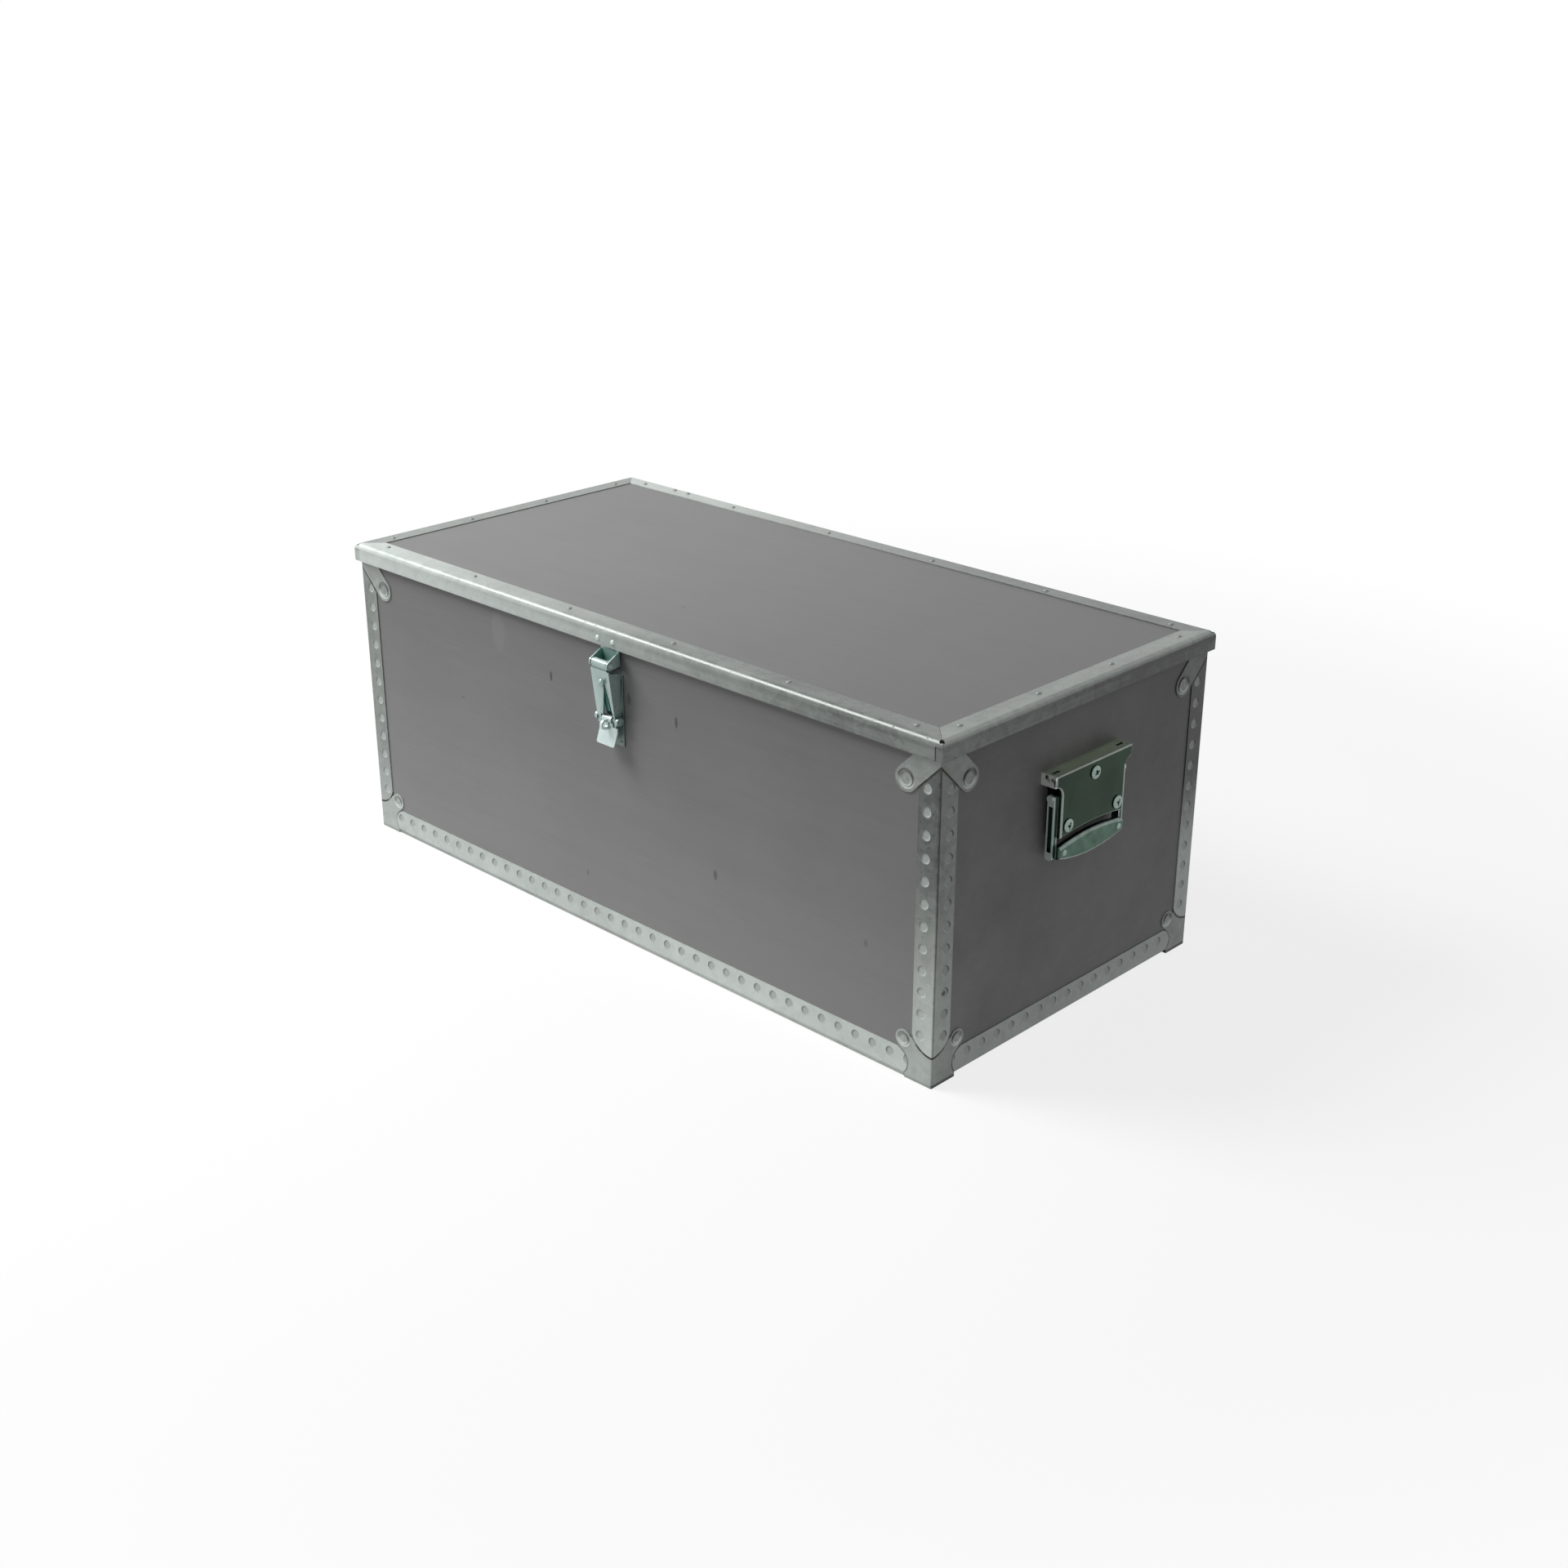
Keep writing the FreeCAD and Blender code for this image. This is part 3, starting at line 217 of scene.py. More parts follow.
class Sheet:
    """Places on the edging: the way in from the corner line, which face it is, how low and how far back."""

    def __init__(self, place):
        self.x, self.y, self.z = (place.part(axis) for axis in range(3))
        from_end, from_face = half_x - abs(self.x), half_y - abs(self.y)
        self.inward = from_end.math("MAXIMUM", from_face)
        self.front = (from_end - from_face).step(-0.0003, 0.0003)
        self.left = 1 - self.x.step(-0.25, 0.25)
        self.low = 1 - self.z.step(0.015, 0.25)
        self.far = self.y.step(-0.05, 0.10)
        self.grime_and_shade = 0.15 + place.noise(60.0).step(0.40, 0.58) * 0.85

    def ring(self, centre_in, centre_z, radius):
        """Thin ring on the outer faces of every corner."""
        over, rise = self.inward - centre_in, self.z - centre_z
        return 1 - abs((over * over + rise * rise).math("SQRT") - radius).step(0.0005, 0.0014)

    def mitre(self):
        """Painted shade and grime where the straps meet the uprights on a slant."""
        seam_sum = 0.2996
        return (1 - abs(self.inward + self.z - seam_sum).step(0.0009, 0.0018)) * self.grime_and_shade

    def tongue(self):
        """Painted shade and grime round the ends of the bottom strips, where they lie against the caps."""
        centre_in, centre_z, radius = 0.0412, 0.0140, 0.0139
        return self.ring(centre_in, centre_z, radius) * (1 - self.inward.step(0.036, 0.040)) * self.grime_and_shade

    def foot(self):
        """Painted shade and grime round the rounded foot of each upright."""
        centre_z, radius = 0.05589, 0.0261
        return self.ring(0.0, centre_z, radius) * (1 - self.z.step(0.051, 0.055)) * self.grime_and_shade

    def dish(self, centre_in, centre_z, radius):
        """Rim of a round dish or head: painted shade above and a painted highlight below, as light from the
        floor falls.
        """
        below = 1 - (self.z - centre_z).step(-0.6 * radius, 0.4 * radius)
        return self.ring(centre_in, centre_z, radius) * (below * 0.65 - 0.22)


def galvanised(name, painted_light_and_grime, marks=None, drawn=(40.0, 40.0, 40.0)):
    """Zinc-coated sheet. The first function gives the tone over a piece, 0 dark and 1 bright, as painted
    light and shade with grime; marks gives the way to the nearest press mark and its tone; drawn is the
    stretch of the rubbing."""
    made, start, place = finish(name)
    sheet = Sheet(place)
    spangle = place.cells(150.0, "Color").part(0)
    stain = place.noise(13.0, detail=5)
    rub = place.noise(1.0, drawn, 4)
    speck = 1 - place.noise(380.0, detail=2).step(0.27, 0.38)
    tone = painted_light_and_grime(sheet) + (stain - 0.5) * 0.30 + (spangle - 0.5) * 0.09 + (rub - 0.5) * 0.22 - speck * 0.12
    if marks:
        over, rise, dull = marks(sheet)
        away = (over * over + rise * rise).math("SQRT")
        mark_radius = 0.0046
        disc = 1 - away.step(mark_radius, 0.0053)
        lee = (rise * 0.5 + over * (0.7 - sheet.front * 1.5)) * (1 / mark_radius)
        rim = disc * away.step(0.0030, 0.0042)
        shadow = rim * lee.step(0.1, 0.8) * 0.34
        glint = rim * (0 - lee).step(0.2, 0.9) * 0.14
        tone = tone + (dull - tone) * disc * 0.75 - shadow + glint
    tone = tone.math("MAXIMUM", 0.0)
    rough = 0.34 + (stain - 0.5) * 0.22 + (spangle - 0.5) * 0.08 + speck * 0.2
    buckle = place.noise(26.0, detail=2) - speck * 0.05
    start.shade({"Base Color": tone.blend((0.040, 0.045, 0.041, 1), (0.695, 0.755, 0.720, 1)),
                 "Roughness": rough, "Metallic": 0.25, "Normal": buckle.dent(0.0012, 0.30)})
    return made


# Painted light and shade: the ends and the bead along the foot darker, the left a little darker, and painted
# shade with grime round the tongues.
def bottom_painted_light_and_grime(sheet):
    ends = abs(sheet.x).step(0.3975, 0.3985)
    bead = 1 - sheet.z.step(0.0030, 0.0060)
    return 0.94 - sheet.left * 0.13 - ends * 0.42 - bead * 0.36 - sheet.tongue() * 0.3


def bottom_marks(sheet):
    first_x, first_y = -0.3630, -0.1440
    half_pitch_x, half_pitch_y = 0.010221, 0.010286
    mark_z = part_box("bottom_edge_front")[1].z - 0.0090
    along = (sheet.x - first_x).math("WRAP", half_pitch_x, -half_pitch_x) * sheet.front \
        + (sheet.y - first_y).math("WRAP", half_pitch_y, -half_pitch_y) * (1 - sheet.front)
    # The discs are painted lighter on the front faces than on the ends: painted light and shade.
    return along, sheet.z - mark_z, 0.42 + sheet.front * 0.16


# Painted light and reflection: the near right face dark high up and pale low down, the left face pale, the
# ends darker, the far end pale only low down, a painted dark line along the bend, and painted shade with
# grime at the mitre and the foot.
def upright_painted_light_and_grime(sheet):
    bright_foot = (1 - sheet.z.step(0.045, 0.110)) * 0.22
    face = (0.08 + sheet.low * 0.82) * (1 - sheet.left) + (0.36 + bright_foot) * sheet.left
    far_end = (1 - sheet.z.step(0.09, 0.20)) * 0.70 - 0.04
    end = (0.24 + sheet.low * 0.34) * (1 - sheet.far) + far_end * sheet.far
    end = end - (1 - sheet.inward.step(0.0012, 0.0024)) * 0.30
    return face * sheet.front + end * (1 - sheet.front) - (sheet.mitre() * 0.7 + sheet.foot())


def upright_marks(sheet):
    """Marks of the uprights. One, low on the near right upright, is torn and dark."""
    line_x, line_y, first_z, half_pitch = 0.3860, 0.1770, 0.0472, 0.010473
    across = sheet.x.math("SIGN") * (abs(sheet.x) - line_x) * sheet.front \
        + sheet.y.math("SIGN") * (abs(sheet.y) - line_y) * (1 - sheet.front)
    torn_y, torn_z = sheet.y + 0.1776, sheet.z - 0.0886
    torn = 1 - (torn_y * torn_y + torn_z * torn_z).math("SQRT").step(0.0014, 0.0026)
    # The discs' tone is painted per face, lighter on the front faces and at the far end: painted light and
    # shade.
    dull = 0.34 + sheet.front * 0.38 + sheet.far * 0.08 - torn * (1 - sheet.left) * 1.4
    return across, (sheet.z - first_z).math("WRAP", half_pitch, -half_pitch), dull


def dress(material, *starts):
    """Finish for every node whose name starts with one of these."""
    for name, node in frame["nodes"].items():
        if name.startswith(starts):
            node.data.materials[0] = material


dress(galvanised("galvanised_strip_bottom", bottom_painted_light_and_grime, bottom_marks), "bottom_edge")
dress(galvanised("galvanised_strip_upright", upright_painted_light_and_grime, upright_marks, (90.0, 90.0, 6.0)), "corner_edge")


# Corner straps and caps. The same galvanised sheet, stamped and folded round the corner, with a dish for each
# rivet. They lie against the ends of the strips; painted shade with grime marks every joint, and their tone
# is painted light and shade.

strap_dish, cap_dish = (0.0370, 0.2800), (0.0326, 0.0372)


# Painted light and shade: paler on the left, darker on the ends and darkest at the far end, with painted
# shade and grime at the mitre and painted shade and highlight on the dish rims.
def strap_painted_light_and_grime(sheet):
    face = 0.42 * (1 - sheet.left) + 0.52 * sheet.left
    end = 0.28 - sheet.far * 0.20
    rim = sheet.dish(*strap_dish, 0.0083)
    return face * sheet.front + end * (1 - sheet.front) - sheet.mitre() * 0.5 + rim


# Painted light and shade: the ends darker than the faces, the sole painted dark as shade, painted shade with
# grime at the joints, and painted highlight and shade on the dish rims.
def cap_painted_light_and_grime(sheet):
    face = 0.66 * (1 - sheet.left) + 0.70 * sheet.left
    sole = (1 - sheet.z.step(0.0015, 0.0040)) * (0.55 - sheet.front * 0.35)
    joints = sheet.tongue() * 0.3 + sheet.foot() - sheet.dish(*cap_dish, 0.0065)
    return face * sheet.front + 0.38 * (1 - sheet.front) - joints - sole


dress(galvanised("galvanised_strap", strap_painted_light_and_grime), "top_corner")
dress(galvanised("galvanised_cap", cap_painted_light_and_grime), "bottom_corner")


# Corner rivets. Zinc-plated steel, with a broad flat head set in the dish of each ear and a raised rim left
# by the setting tool. Their places and sizes are read from the solids.

def solids_of(name):
    """Lowest and highest corner of each separate solid in a node."""
    shell = bmesh.new()
    shell.from_mesh(frame["nodes"][name].data)
    bmesh.ops.remove_doubles(shell, verts=shell.verts, dist=1e-6)
    left = set(shell.verts)
    boxes = []
    while left:
        group = [left.pop()]
        reach = list(group)
        while reach:
            for edge in reach.pop().link_edges:
                for vert in edge.verts:
                    if vert in left:
                        left.remove(vert)
                        group.append(vert)
                        reach.append(vert)
        boxes.append((Vector([min(v.co[i] for v in group) for i in range(3)]),
                      Vector([max(v.co[i] for v in group) for i in range(3)])))
    shell.free()
    return boxes


def turned(shell, profile, seat, axis, steps=24):
    """Profile of (radius, height) pairs spun about an axis through the seat."""
    verts = [shell.verts.new((radius, 0, height)) for radius, height in profile]
    edges = [shell.edges.new(pair) for pair in zip(verts, verts[1:])]
    before = set(shell.verts) - set(verts)
    bmesh.ops.spin(shell, geom=verts + edges, cent=(0, 0, 0), axis=(0, 0, 1), angle=2 * math.pi, steps=steps,
                   use_merge=True)
    made = [vert for vert in shell.verts if vert not in before]
    bmesh.ops.remove_doubles(shell, verts=made, dist=1e-6)
    made = [vert for vert in shell.verts if vert not in before]
    turn = Vector((0, 0, 1)).rotation_difference(Vector(axis)).to_matrix().to_4x4()
    bmesh.ops.transform(shell, matrix=Matrix.Translation(seat) @ turn, verts=made)


def piece(name, shell, material, body, slot, *nodes, fold=0.7):
    """Finished mesh as an object that rides on a body and stands for these nodes."""
    bmesh.ops.recalc_face_normals(shell, faces=shell.faces)
    mesh = bpy.data.meshes.new(name)
    for face in shell.faces:
        face.smooth = True
    shell.to_mesh(mesh)
    shell.free()
    mesh.set_sharp_from_angle(angle=fold)
    mesh.materials.append(material)
    made = bpy.data.objects.new(name, mesh)
    bpy.context.scene.collection.objects.link(made)
    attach(made, body)
    if nodes:
        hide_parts(*nodes)
    return made


def outward(low, high):
    """Axis along a fastener, pointing away from the case, and its number."""
    middle, size = (low + high) / 2, high - low
    along = min(range(3), key=lambda i: abs(size[(i + 1) % 3] - size[(i + 2) % 3]))
    axis = Vector((0, 0, 0))
    axis[along] = 1 if along == 2 or middle[along] > 0 else -1
    return axis, along


def rivets(name, body, profile, material):
    """Rivets of a node again, with this head: pairs are shares of the head's radius and heights in metres."""
    shell = bmesh.new()
    for low, high in solids_of(name):
        axis, along = outward(low, high)
        radius = (high - low)[(along + 1) % 3] / 2
        seat = (low + high) / 2
        seat[along] = high[along] if axis[along] > 0 else low[along]
        turned(shell, [(radius * share, height) for share, height in profile], seat, axis)
    piece(name + "_set", shell, material, body, "zinc_fastener", name)


# Painted light and shade: the heads lighter on the front faces and low down, with painted shade and highlight
# on the dish rims.
def head_painted_light(sheet):
    rims = sheet.dish(*strap_dish, 0.0064) + sheet.dish(*cap_dish, 0.0048)
    return (0.48 + sheet.low * 0.14) * sheet.front + (0.30 + sheet.low * 0.16) * (1 - sheet.front) + rims


flat_head = ((0, 0), (0.30, 0), (0.36, -0.00008), (0.80, -0.00008), (0.86, 0.00022), (0.93, 0.00030),
             (0.98, 0.00018), (1, -0.0002), (0.98, -0.0005), (0.3, -0.0005), (0.3, -0.0060), (0, -0.0060))
rivets("corner_rivets", "case", flat_head, galvanised("zinc_corner_rivet", head_painted_light))


# Lid rims. Galvanised sheet round the lid's board, folded over with a round bend and mitred at the corners.
# The rolled sheet is streaked along its length, and its tone is painted light and shade: dark skirts, dark
# bands under the bend and at the hem, and a painted highlight along the fold of the end rims.

# Painted light and reflection: flange and skirt paler to the left, and painted dark bands under the bend and
# at the hem.
def face_rim_painted_light(sheet):
    up = sheet.z.step(0.3195, 0.3238)
    left = 1 - sheet.x.step(-0.42, 0.20)
    under = sheet.z.step(0.3125, 0.3172) * (1 - sheet.z.step(0.3180, 0.3200))
    hem = 1 - sheet.z.step(0.3058, 0.3070)
    skirt = 0.27 + (1 - sheet.x.step(-0.40, 0.36)) * 0.68 - under * 0.08 - hem * 0.12
    return (0.22 + left * 0.62) * up + skirt * (1 - up)


# Painted light and reflection: dark skirts, paler towards the near end and on the left rim, painted dark
# bands under the bend and at the hem, and a painted highlight along the fold.
def end_rim_painted_light(sheet):
    up = sheet.z.step(0.3200, 0.3238)
    near = 1 - sheet.y.step(-0.20, 0.16)
    under = sheet.z.step(0.3135, 0.3165) * (1 - sheet.z.step(0.3180, 0.3200))
    hem = 1 - sheet.z.step(0.3058, 0.3070)
    fold = sheet.z.step(0.3192, 0.3206) * (1 - sheet.z.step(0.3228, 0.3240))
    skirt = 0.02 + near * 0.18 - under * 0.06 - hem * 0.08 + sheet.left * 0.5
    return 0.38 * up + skirt * (1 - up) + fold * 0.24


face_rim = galvanised("galvanised_lid_front", face_rim_painted_light, drawn=(5.0, 60.0, 330.0))
end_rim = galvanised("galvanised_lid_end", end_rim_painted_light, drawn=(60.0, 5.0, 330.0))
dress(face_rim, "lid_edge_front", "lid_edge_back")
dress(end_rim, "lid_edge_left", "lid_edge_right")


# Lid rivets. Zinc-plated steel, with a low domed head on a thin brim, along all four flanges of the lid.
# They are turned again on the places of the solids.

def zinc_plate(name, base, shade, rough, metallic, dirt_and_crease_shade, reach=0.006, grime_and_shade=(0.03, 0.04, 0.036, 1),
               line=None):
    """Zinc-plated steel. The share of grime and painted shade is how far they hide the zinc within a reach of
    another surface. line is the height of a seam darkened in a line."""
    made, start, place = finish(name)
    cloud = place.noise(60.0, detail=4)
    scratch = place.noise(1.0, (900.0, 60.0, 60.0), 2)
    tone = 0.6 + (cloud - 0.5) * 0.8 + (scratch - 0.5) * 0.35
    # Painted shade and grime: the zinc turns to the grime colour near other surfaces.
    near = 1 - start.node("AmbientOcclusion", {"samples": 8}, {"Distance": reach}, "AO")
    dull = near * dirt_and_crease_shade
    if line:
        dull = dull + (1 - abs(place.part(2) - line).step(0.0003, 0.0010)) * 0.7
    colour = dull.math("MINIMUM", 1.0).blend(tone.blend(shade, base), grime_and_shade)
    start.shade({"Base Color": colour, "Metallic": metallic, "Roughness": rough + (cloud - 0.5) * 0.2,
                 "Normal": (cloud + scratch * 0.3).dent(0.0003, 0.3)})
    return made


lid_head = zinc_plate("zinc_lid_rivet", (0.36, 0.39, 0.37, 1), (0.20, 0.22, 0.21, 1), 0.42, 0.25, 0.9)
dome_head = ((0, 0), (0.25, -0.00004), (0.5, -0.00022), (0.72, -0.0005), (0.87, -0.00085), (0.96, -0.00118),
             (1, -0.00132), (0.98, -0.00142))


def domed(share, brim, length):
    """The domed head with its height at a share, and a shank of half its radius from the brim down."""
    return tuple((wide, height * share) for wide, height in dome_head) + (
        (0.5, brim), (0.5, -length), (0, -length))


rivets("lid_rivets", "lid", domed(1, -0.00142, 0.0075), lid_head)


# Hinges. Two stamped steel butt hinges on the back: a leaf rolled round the pin on the case and one on the
# lid's skirt, zinc-plated, held by domed rivets.

hinge_zinc = zinc_plate("zinc_hinge", (0.50, 0.57, 0.54, 1), (0.30, 0.36, 0.33, 1), 0.34, 0.35, 0.7)
dress(hinge_zinc, "hinge_leaf", "hinge_pin")
leaf_head = domed(0.9, -0.00128, 0.0035)
rivets("hinge_case_rivets", "case", leaf_head, lid_head)
rivets("hinge_lid_rivets", "lid", leaf_head, lid_head)


# Latch. Bright zinc-plated sheet with a bluish green passivation: a bracket riveted behind the lid's skirt, a
# forked hasp hung on its pin, a thumb lever with a padlock eye, and a base plate on the panel. The base plate
# is painted darker as painted shade and the lever paler as painted light, and painted shade in teal darkens
# every piece next to other surfaces.

# Colours of painted shade and grime near other surfaces: dark teal, and a lighter teal inside the bracket.
teal, inside = (0.012, 0.050, 0.040, 1), (0.055, 0.250, 0.200, 1)
pale, blued = (0.52, 0.66, 0.63, 1), (0.33, 0.45, 0.42, 1)
roll_foot = 0.2886
hasp_zinc = zinc_plate("zinc_latch_hasp", pale, blued, 0.28, 0.35, 1.3, 0.008, teal, roll_foot)
bracket_zinc = zinc_plate("zinc_latch_bracket", (0.66, 0.80, 0.77, 1), blued, 0.28, 0.35, 1.5, 0.014, inside)
# The base plate is painted darker, as painted shade under the hasp, and the lever paler, as painted light.
base_zinc = zinc_plate("zinc_latch_base", (0.22, 0.29, 0.27, 1), (0.10, 0.16, 0.14, 1), 0.30, 0.35, 1.0,
                       0.010, teal)
lever_zinc = zinc_plate("zinc_latch_lever", (0.84, 0.97, 0.94, 1), (0.56, 0.70, 0.67, 1), 0.26, 0.35, 0.9,
                        0.006, teal)
spring_zinc = zinc_plate("zinc_latch_spring", (0.14, 0.44, 0.36, 1), (0.05, 0.20, 0.16, 1), 0.25, 0.35, 0.7,
                         0.006, teal)


def softened(name, body, width, material, corner=0.0):
    """Stamped piece with its long edges eased, from a merged copy of the solid. corner is the radius of its
    lowest corners."""
    shell = bmesh.new()
    shell.from_mesh(frame["nodes"][name].data)
    bmesh.ops.remove_doubles(shell, verts=shell.verts, dist=1e-6)
    bmesh.ops.dissolve_limit(shell, angle_limit=0.01, verts=shell.verts, edges=shell.edges)
    if corner:
        foot = min(vert.co.z for vert in shell.verts)
        wide = max(abs(vert.co.x) for vert in shell.verts)
        tips = [edge for edge in shell.edges if edge.calc_length() < corner and all(
            vert.co.z < foot + corner and abs(vert.co.x) > wide - 1e-5 for vert in edge.verts)]
        bmesh.ops.bevel(shell, geom=tips, offset=corner, affect="EDGES", segments=5, profile=0.5, material=-1)
    long = [edge for edge in shell.edges if len(edge.link_faces) == 2 and edge.calc_length() > 6 * width
            and edge.calc_face_angle() > 0.6]
    bmesh.ops.bevel(shell, geom=long, offset=width, affect="EDGES", segments=2, profile=0.5, material=-1,
                    clamp_overlap=True)
    bmesh.ops.remove_doubles(shell, verts=shell.verts, dist=1e-5)
    piece(name + "_eased", shell, material, body, "zinc_fitting", name, fold=0.5)


softened("latch_hasp", "hasp", 0.00030, hasp_zinc)
softened("latch_lever", "lever", 0.00035, lever_zinc, 0.0024)
softened("latch_bracket", "lid", 0.00030, bracket_zinc)
softened("latch_base", "case", 0.00030, base_zinc)
dress(spring_zinc, "latch_spring")
dress(hasp_zinc, "lever_pin")
dress(lever_zinc, "padlock_eye", "hasp_pin")
roll = bmesh.new()
hasp_pin_at = (0, -0.205, 0.293)
inner, outer, half_wide, ease = 0.0016, 0.0041, 0.0104, 0.0005
turned(roll, [(inner, -half_wide), (outer - ease, -half_wide), (outer, ease - half_wide),
              (outer, half_wide - ease), (outer - ease, half_wide), (inner, half_wide), (inner, -half_wide)],
       hasp_pin_at, (1, 0, 0), 32)
piece("latch_hasp_roll", roll, hasp_zinc, "hasp", "zinc_fitting")
ball_head = bmesh.new()
ball_seat, ball_lean = (0, -0.2060, 0.2745), 0.056
turned(ball_head, [(0, 0.0027), (0.0012, 0.00255), (0.0023, 0.00215), (0.0032, 0.0015), (0.0038, 0.0007),
                   (0.0040, 0), (0.0014, 0), (0.0014, -0.0020), (0, -0.0020)],
       ball_seat, Vector((0, -1, ball_lean)).normalized(), 32)
piece("latch_dome_rivet_set", ball_head, hasp_zinc, "hasp", "zinc_fastener", "latch_dome_rivet")
rivets("latch_bracket_rivets", "lid", domed(1, -0.00142, 0.0035), lever_zinc)
rivets("latch_base_rivets", "case", domed(0.7, -0.001, 0.006), lid_head)


# Drop handles. A pressed cover with a folded rim on each end panel, a pin through it, and a bail of two
# channel arms with a leaf-shaped grip that hangs flat. Zinc-plated, dark green, worn pale on the rims, where
# painted highlights lie too; the top face is painted lighter as lit from above, the ear ends carry painted
# reflections, and painted shade darkens each piece next to other surfaces.

def scaled(colour, share):
    return tuple(part * share for part in colour[:3]) + (1,)


def handle_zinc(name, rim, face, pale, patchy, soot_and_crease_shade, patches, top=(0.640, 0.770, 0.560, 1)):
    """Passivated zinc. rim gives the shares of pale zinc, worn and with painted highlights, and of painted
    bright reflections at a place, patchy is the dullest share of its colour, the shade share how dark painted
    shade makes it next to other surfaces, patches how many to a metre."""
    made, start, place = finish(name)
    cloud = place.noise(patches, detail=4)
    scratch = place.noise(1.0, (60.0, 700.0, 60.0), 2)
    tone = (0.5 + (cloud - 0.5) * 1.5 + (scratch - 0.5) * 0.3).math("MAXIMUM", 0.0)
    dark = tone.blend(scaled(face, 0.5), scaled(face, 1.4))
    # Painted light: the top face is painted lighter, as lit from above.
    painted_top_light = place.part(2).step(0.2535, 0.2548)
    dark = painted_top_light.blend(dark, tone.blend(scaled(top, 0.6), top))
    worn_and_highlight = tone.blend(scaled(pale, patchy), pale)
    # Painted shade darkens each piece next to other surfaces.
    near = 1 - start.node("AmbientOcclusion", {"samples": 8}, {"Distance": 0.005}, "AO")
    wear_and_highlight, painted_bright_reflection = rim(place)
    colour = (near * soot_and_crease_shade).blend(wear_and_highlight.blend(dark, worn_and_highlight), (0.004, 0.012, 0.009, 1))
    if painted_bright_reflection:
        colour = painted_bright_reflection.blend(colour, (0.92, 0.95, 0.92, 1))
        wear_and_highlight = wear_and_highlight.math("MAXIMUM", painted_bright_reflection)
    start.shade({"Base Color": colour, "Roughness": 0.24 + (cloud - 0.5) * 0.16,
                 "Metallic": 0.95 - painted_top_light.math("MAXIMUM", wear_and_highlight * 0.8) * 0.8,
                 "Normal": (cloud + scratch * 0.2).dent(0.0004, 0.25)})
    return made


# The rims are worn pale zinc with painted highlights; the ear ends carry painted bright reflections in
# patches.
def cover_rim(place):
    out = abs(place.part(0))
    ears = abs(place.part(1)).step(0.0538, 0.0548) * place.noise(170.0).step(0.36, 0.52)
    return out.step(0.4138, 0.4143) * (1 - out.step(0.41575, 0.41595)), ears


def grip_rim(place):
    out = abs(place.part(0))
    return out.step(0.4140, 0.4146) * (1 - out.step(0.41675, 0.41696)), None


def arm_rim(place):
    out, wide = abs(place.part(0)), abs(place.part(1))
    edges = out.step(0.4113, 0.4116) * abs(wide - 0.0486).step(0.0016, 0.0025)
    return wide.step(0.0506, 0.0512).math("MAXIMUM", edges), None


cover_zinc = handle_zinc("zinc_handle_cover", cover_rim, (0.016, 0.036, 0.020), (0.58, 0.66, 0.60, 1),
                         0.45, 0.55, 22.0)
grip_zinc = handle_zinc("zinc_handle_grip", grip_rim, (0.066, 0.122, 0.092), (0.44, 0.57, 0.52, 1),
                        0.45, 0.75, 130.0)
arm_zinc = handle_zinc("zinc_handle_arm", arm_rim, (0.045, 0.090, 0.074), (0.86, 0.97, 0.93, 1),
                       0.8, 0.35, 60.0)
dress(cover_zinc, "handle_cover")
dress(grip_zinc, "handle_grip")
dress(arm_zinc, "handle_arm", "handle_pin")


# Handle screws. Zinc-plated pan-head screws with a cross recess, three to a cover, driven through it into the
# panel. The colour turns near black in the recess and round the foot of each head.

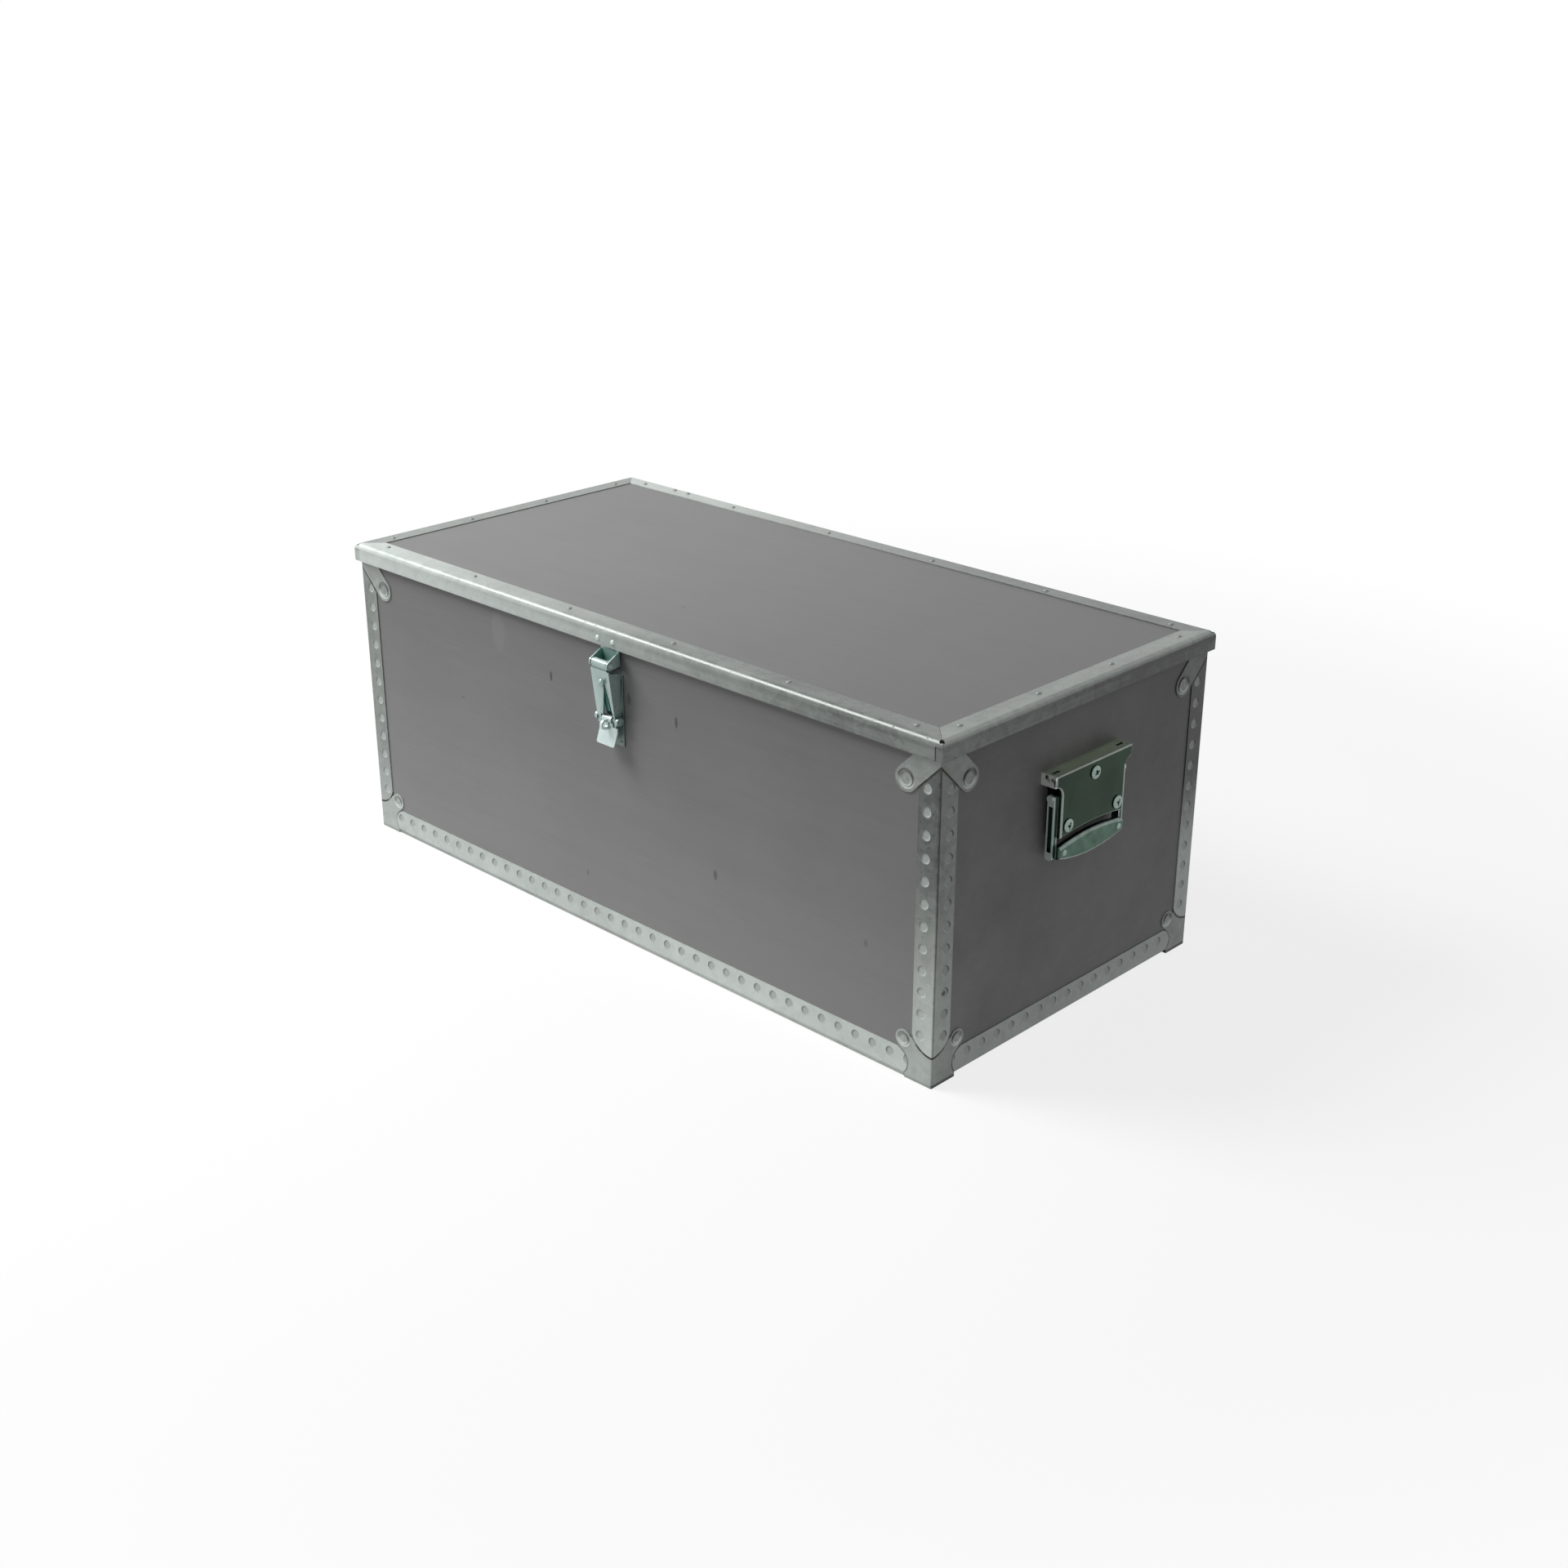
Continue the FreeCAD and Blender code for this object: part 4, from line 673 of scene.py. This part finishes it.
screw_zinc, screw_start, screw_place = finish("zinc_screw")
screw_out = abs(screw_place.part(0))
screw_cloud = screw_place.noise(300.0)
screw_tone = screw_out.step(0.4164, 0.4176) * (0.75 + (screw_cloud - 0.5) * 0.8)
screw_start.shade({"Base Color": screw_tone.blend((0.008, 0.014, 0.011, 1), (0.40, 0.52, 0.47, 1)),
                   "Metallic": 0.7, "Roughness": 0.22 + screw_cloud * 0.1,
                   "Normal": screw_cloud.dent(0.0002, 0.3)})
head_tall, recess_floor = 0.0024, 0.0004
screws = bmesh.new()
for low, high in solids_of("handle_screws"):
    axis = outward(low, high)[0]
    radius = (high - low)[1] / 2
    seat = (low + high) / 2
    seat.x = high.x if axis.x > 0 else low.x
    seat -= axis * head_tall
    other = set(screws.verts)
    rim = bmesh.ops.create_circle(screws, cap_ends=True, segments=32, radius=radius)["verts"]
    loop = list({edge for vert in rim for edge in vert.link_edges})
    for share, height in ((1.0, 0.0008), (0.93, 0.0015), (0.80, 0.0020), (0.60, 0.00235)):
        grown = bmesh.ops.extrude_edge_only(screws, edges=loop)["geom"]
        loop = [part for part in grown if isinstance(part, bmesh.types.BMEdge)]
        for vert in (part for part in grown if isinstance(part, bmesh.types.BMVert)):
            level = vert.co.xy.normalized() * (radius * share)
            vert.co = (level.x, level.y, height)
    arm, web = radius * 0.50, radius * 0.15
    corners = [(arm, -web), (arm, web), (web, web), (web, arm), (-web, arm), (-web, web), (-arm, web),
               (-arm, -web), (-web, -web), (-web, -arm), (web, -arm), (web, -web)]
    cross = screws.faces.new([screws.verts.new((x, y, head_tall)) for x, y in corners])
    bmesh.ops.bridge_loops(screws, edges=loop + list(cross.edges))
    sunk = bmesh.ops.extrude_face_region(screws, geom=[cross])["geom"]
    bmesh.ops.delete(screws, geom=[cross], context="FACES_ONLY")
    for vert in (part for part in sunk if isinstance(part, bmesh.types.BMVert)):
        vert.co = (vert.co.x * 0.7, vert.co.y * 0.7, recess_floor)
    made = [vert for vert in screws.verts if vert not in other]
    turn = Vector((0, 0, 1)).rotation_difference(axis).to_matrix().to_4x4()
    driven = Matrix.Rotation(0.5 + seat.y * 20, 4, axis)
    bmesh.ops.transform(screws, matrix=Matrix.Translation(seat) @ driven @ turn, verts=made)
piece("handle_screws_set", screws, screw_zinc, "case", "zinc_fastener", "handle_screws")


# Grip rivets. A domed rivet of zinc-plated steel at each end of each grip closes the rolled sheet on the arm.
# The heads are turned and sit on the face of the grip.

grip_head_radius, grip_head_tall, grip_end, grip_raise = 0.0031, 0.0012, 0.0058, 0.0008
for side, body in ((1, "right_bail"), (-1, "left_bail")):
    low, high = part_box("handle_grip_" + ("right" if side > 0 else "left"))
    shell = bmesh.new()
    for end in (-1, 1):
        face = high.x if side > 0 else low.x
        middle = (low.z + high.z) / 2 + grip_raise
        seat = Vector((face + side * grip_head_tall, end * (high.y - grip_end), middle))
        head = [(grip_head_radius * share, height) for share, height in dome_head] + [(0, -0.00142)]
        turned(shell, head, seat, (side, 0, 0))
    piece("grip_rivets_" + body, shell, screw_zinc, body, "zinc_fastener")


# Floor, light and camera. A white sweep that keeps a soft shadow, one large soft lamp high on the left, pale
# air all round, and the camera of the photograph.

def seen_as_white(start):
    """Share of rays from the camera, from mirrors and through glass."""
    rays = start.node("LightPath", output="Is Camera Ray") + start.node("LightPath", output="Is Glossy Ray") \
        + start.node("LightPath", output="Is Transmission Ray")
    return rays.math("MINIMUM", 1.0)


stage = bpy.data.materials.new("white_sweep")
stage.use_nodes = True
ground = Finish(stage.node_tree)
stage.node_tree.nodes.remove(stage.node_tree.nodes["Principled BSDF"])
ground_place = ground.node("TexCoord", output="Object")
reach = ground.node("VectorMath", {"operation": "LENGTH"}, {0: ground_place}, "Value")
lit = ground.node("BsdfDiffuse", None, {"Color": (0.24, 0.24, 0.24, 1)})
glow = ground.node("Emission", None, {"Color": (1, 1, 1, 1), "Strength": 0.80})
white = ground.node("Emission", None, {"Color": (1, 1, 1, 1), "Strength": 1.0})
near = ground.node("AddShader", None, {0: lit, 1: glow})
shown = ground.node("MixShader", None, {0: reach.step(0.75, 1.5), 1: near, 2: white})
paper = ground.node("BsdfDiffuse", None, {"Color": (0.80, 0.80, 0.80, 1)})
beyond = ground.node("BsdfDiffuse", None, {"Color": (0.22, 0.22, 0.22, 1)})
bounce = ground.node("MixShader", None, {0: reach.step(0.55, 1.1), 1: paper, 2: beyond})
swept = ground.node("MixShader", None, {0: seen_as_white(ground), 1: bounce, 2: shown})
stage.node_tree.links.new(swept.socket, stage.node_tree.nodes["Material Output"].inputs["Surface"])
floor_plane = bmesh.new()
bmesh.ops.create_grid(floor_plane, x_segments=1, y_segments=1, size=30.0)
floor_mesh = bpy.data.meshes.new("sweep")
floor_plane.to_mesh(floor_mesh)
floor_plane.free()
floor_mesh.materials.append(stage)
floor_object = bpy.data.objects.new("sweep", floor_mesh)
bpy.context.scene.collection.objects.link(floor_object)

world = bpy.data.worlds.new("pale_air")
world.use_nodes = True
bpy.context.scene.world = world
air = Finish(world.node_tree)
level = 0.18 + seen_as_white(air) * 0.82
world.node_tree.links.new(level.socket, world.node_tree.nodes["Background"].inputs["Strength"])
world.node_tree.nodes["Background"].inputs["Color"].default_value = (1, 1, 1, 1)

lamp = bpy.data.lights.new("soft_key", "AREA")
lamp.shape = "DISK"
lamp.size = 1.3
lamp.energy = 50.0
key = bpy.data.objects.new("soft_key", lamp)
key.visible_camera = False
key.location = (-1.3, -1.0, 2.0)
aim = Vector((0, 0, 0.16))
key.rotation_euler = (aim - Vector(key.location)).to_track_quat("-Z", "Y").to_euler()
bpy.context.scene.collection.objects.link(key)

yaw, pitch = math.radians(44.31), math.radians(23.01)
ahead = Vector((-math.sin(yaw) * math.cos(pitch), math.cos(yaw) * math.cos(pitch), -math.sin(pitch)))
right = Vector((math.cos(yaw), math.sin(yaw), 0))
above = right.cross(ahead)
lens = bpy.data.cameras.new("photo_view")
lens.sensor_width = 36.0
lens.lens = 46.97
camera = bpy.data.objects.new("photo_view", lens)
eye = (1.3709, -1.3667, 0.9313)
camera.matrix_world = Matrix.Translation(eye) @ Matrix((right, above, -ahead)).transposed().to_4x4()
bpy.context.scene.collection.objects.link(camera)
bpy.context.scene.camera = camera
bpy.context.scene.view_settings.view_transform = "Standard"
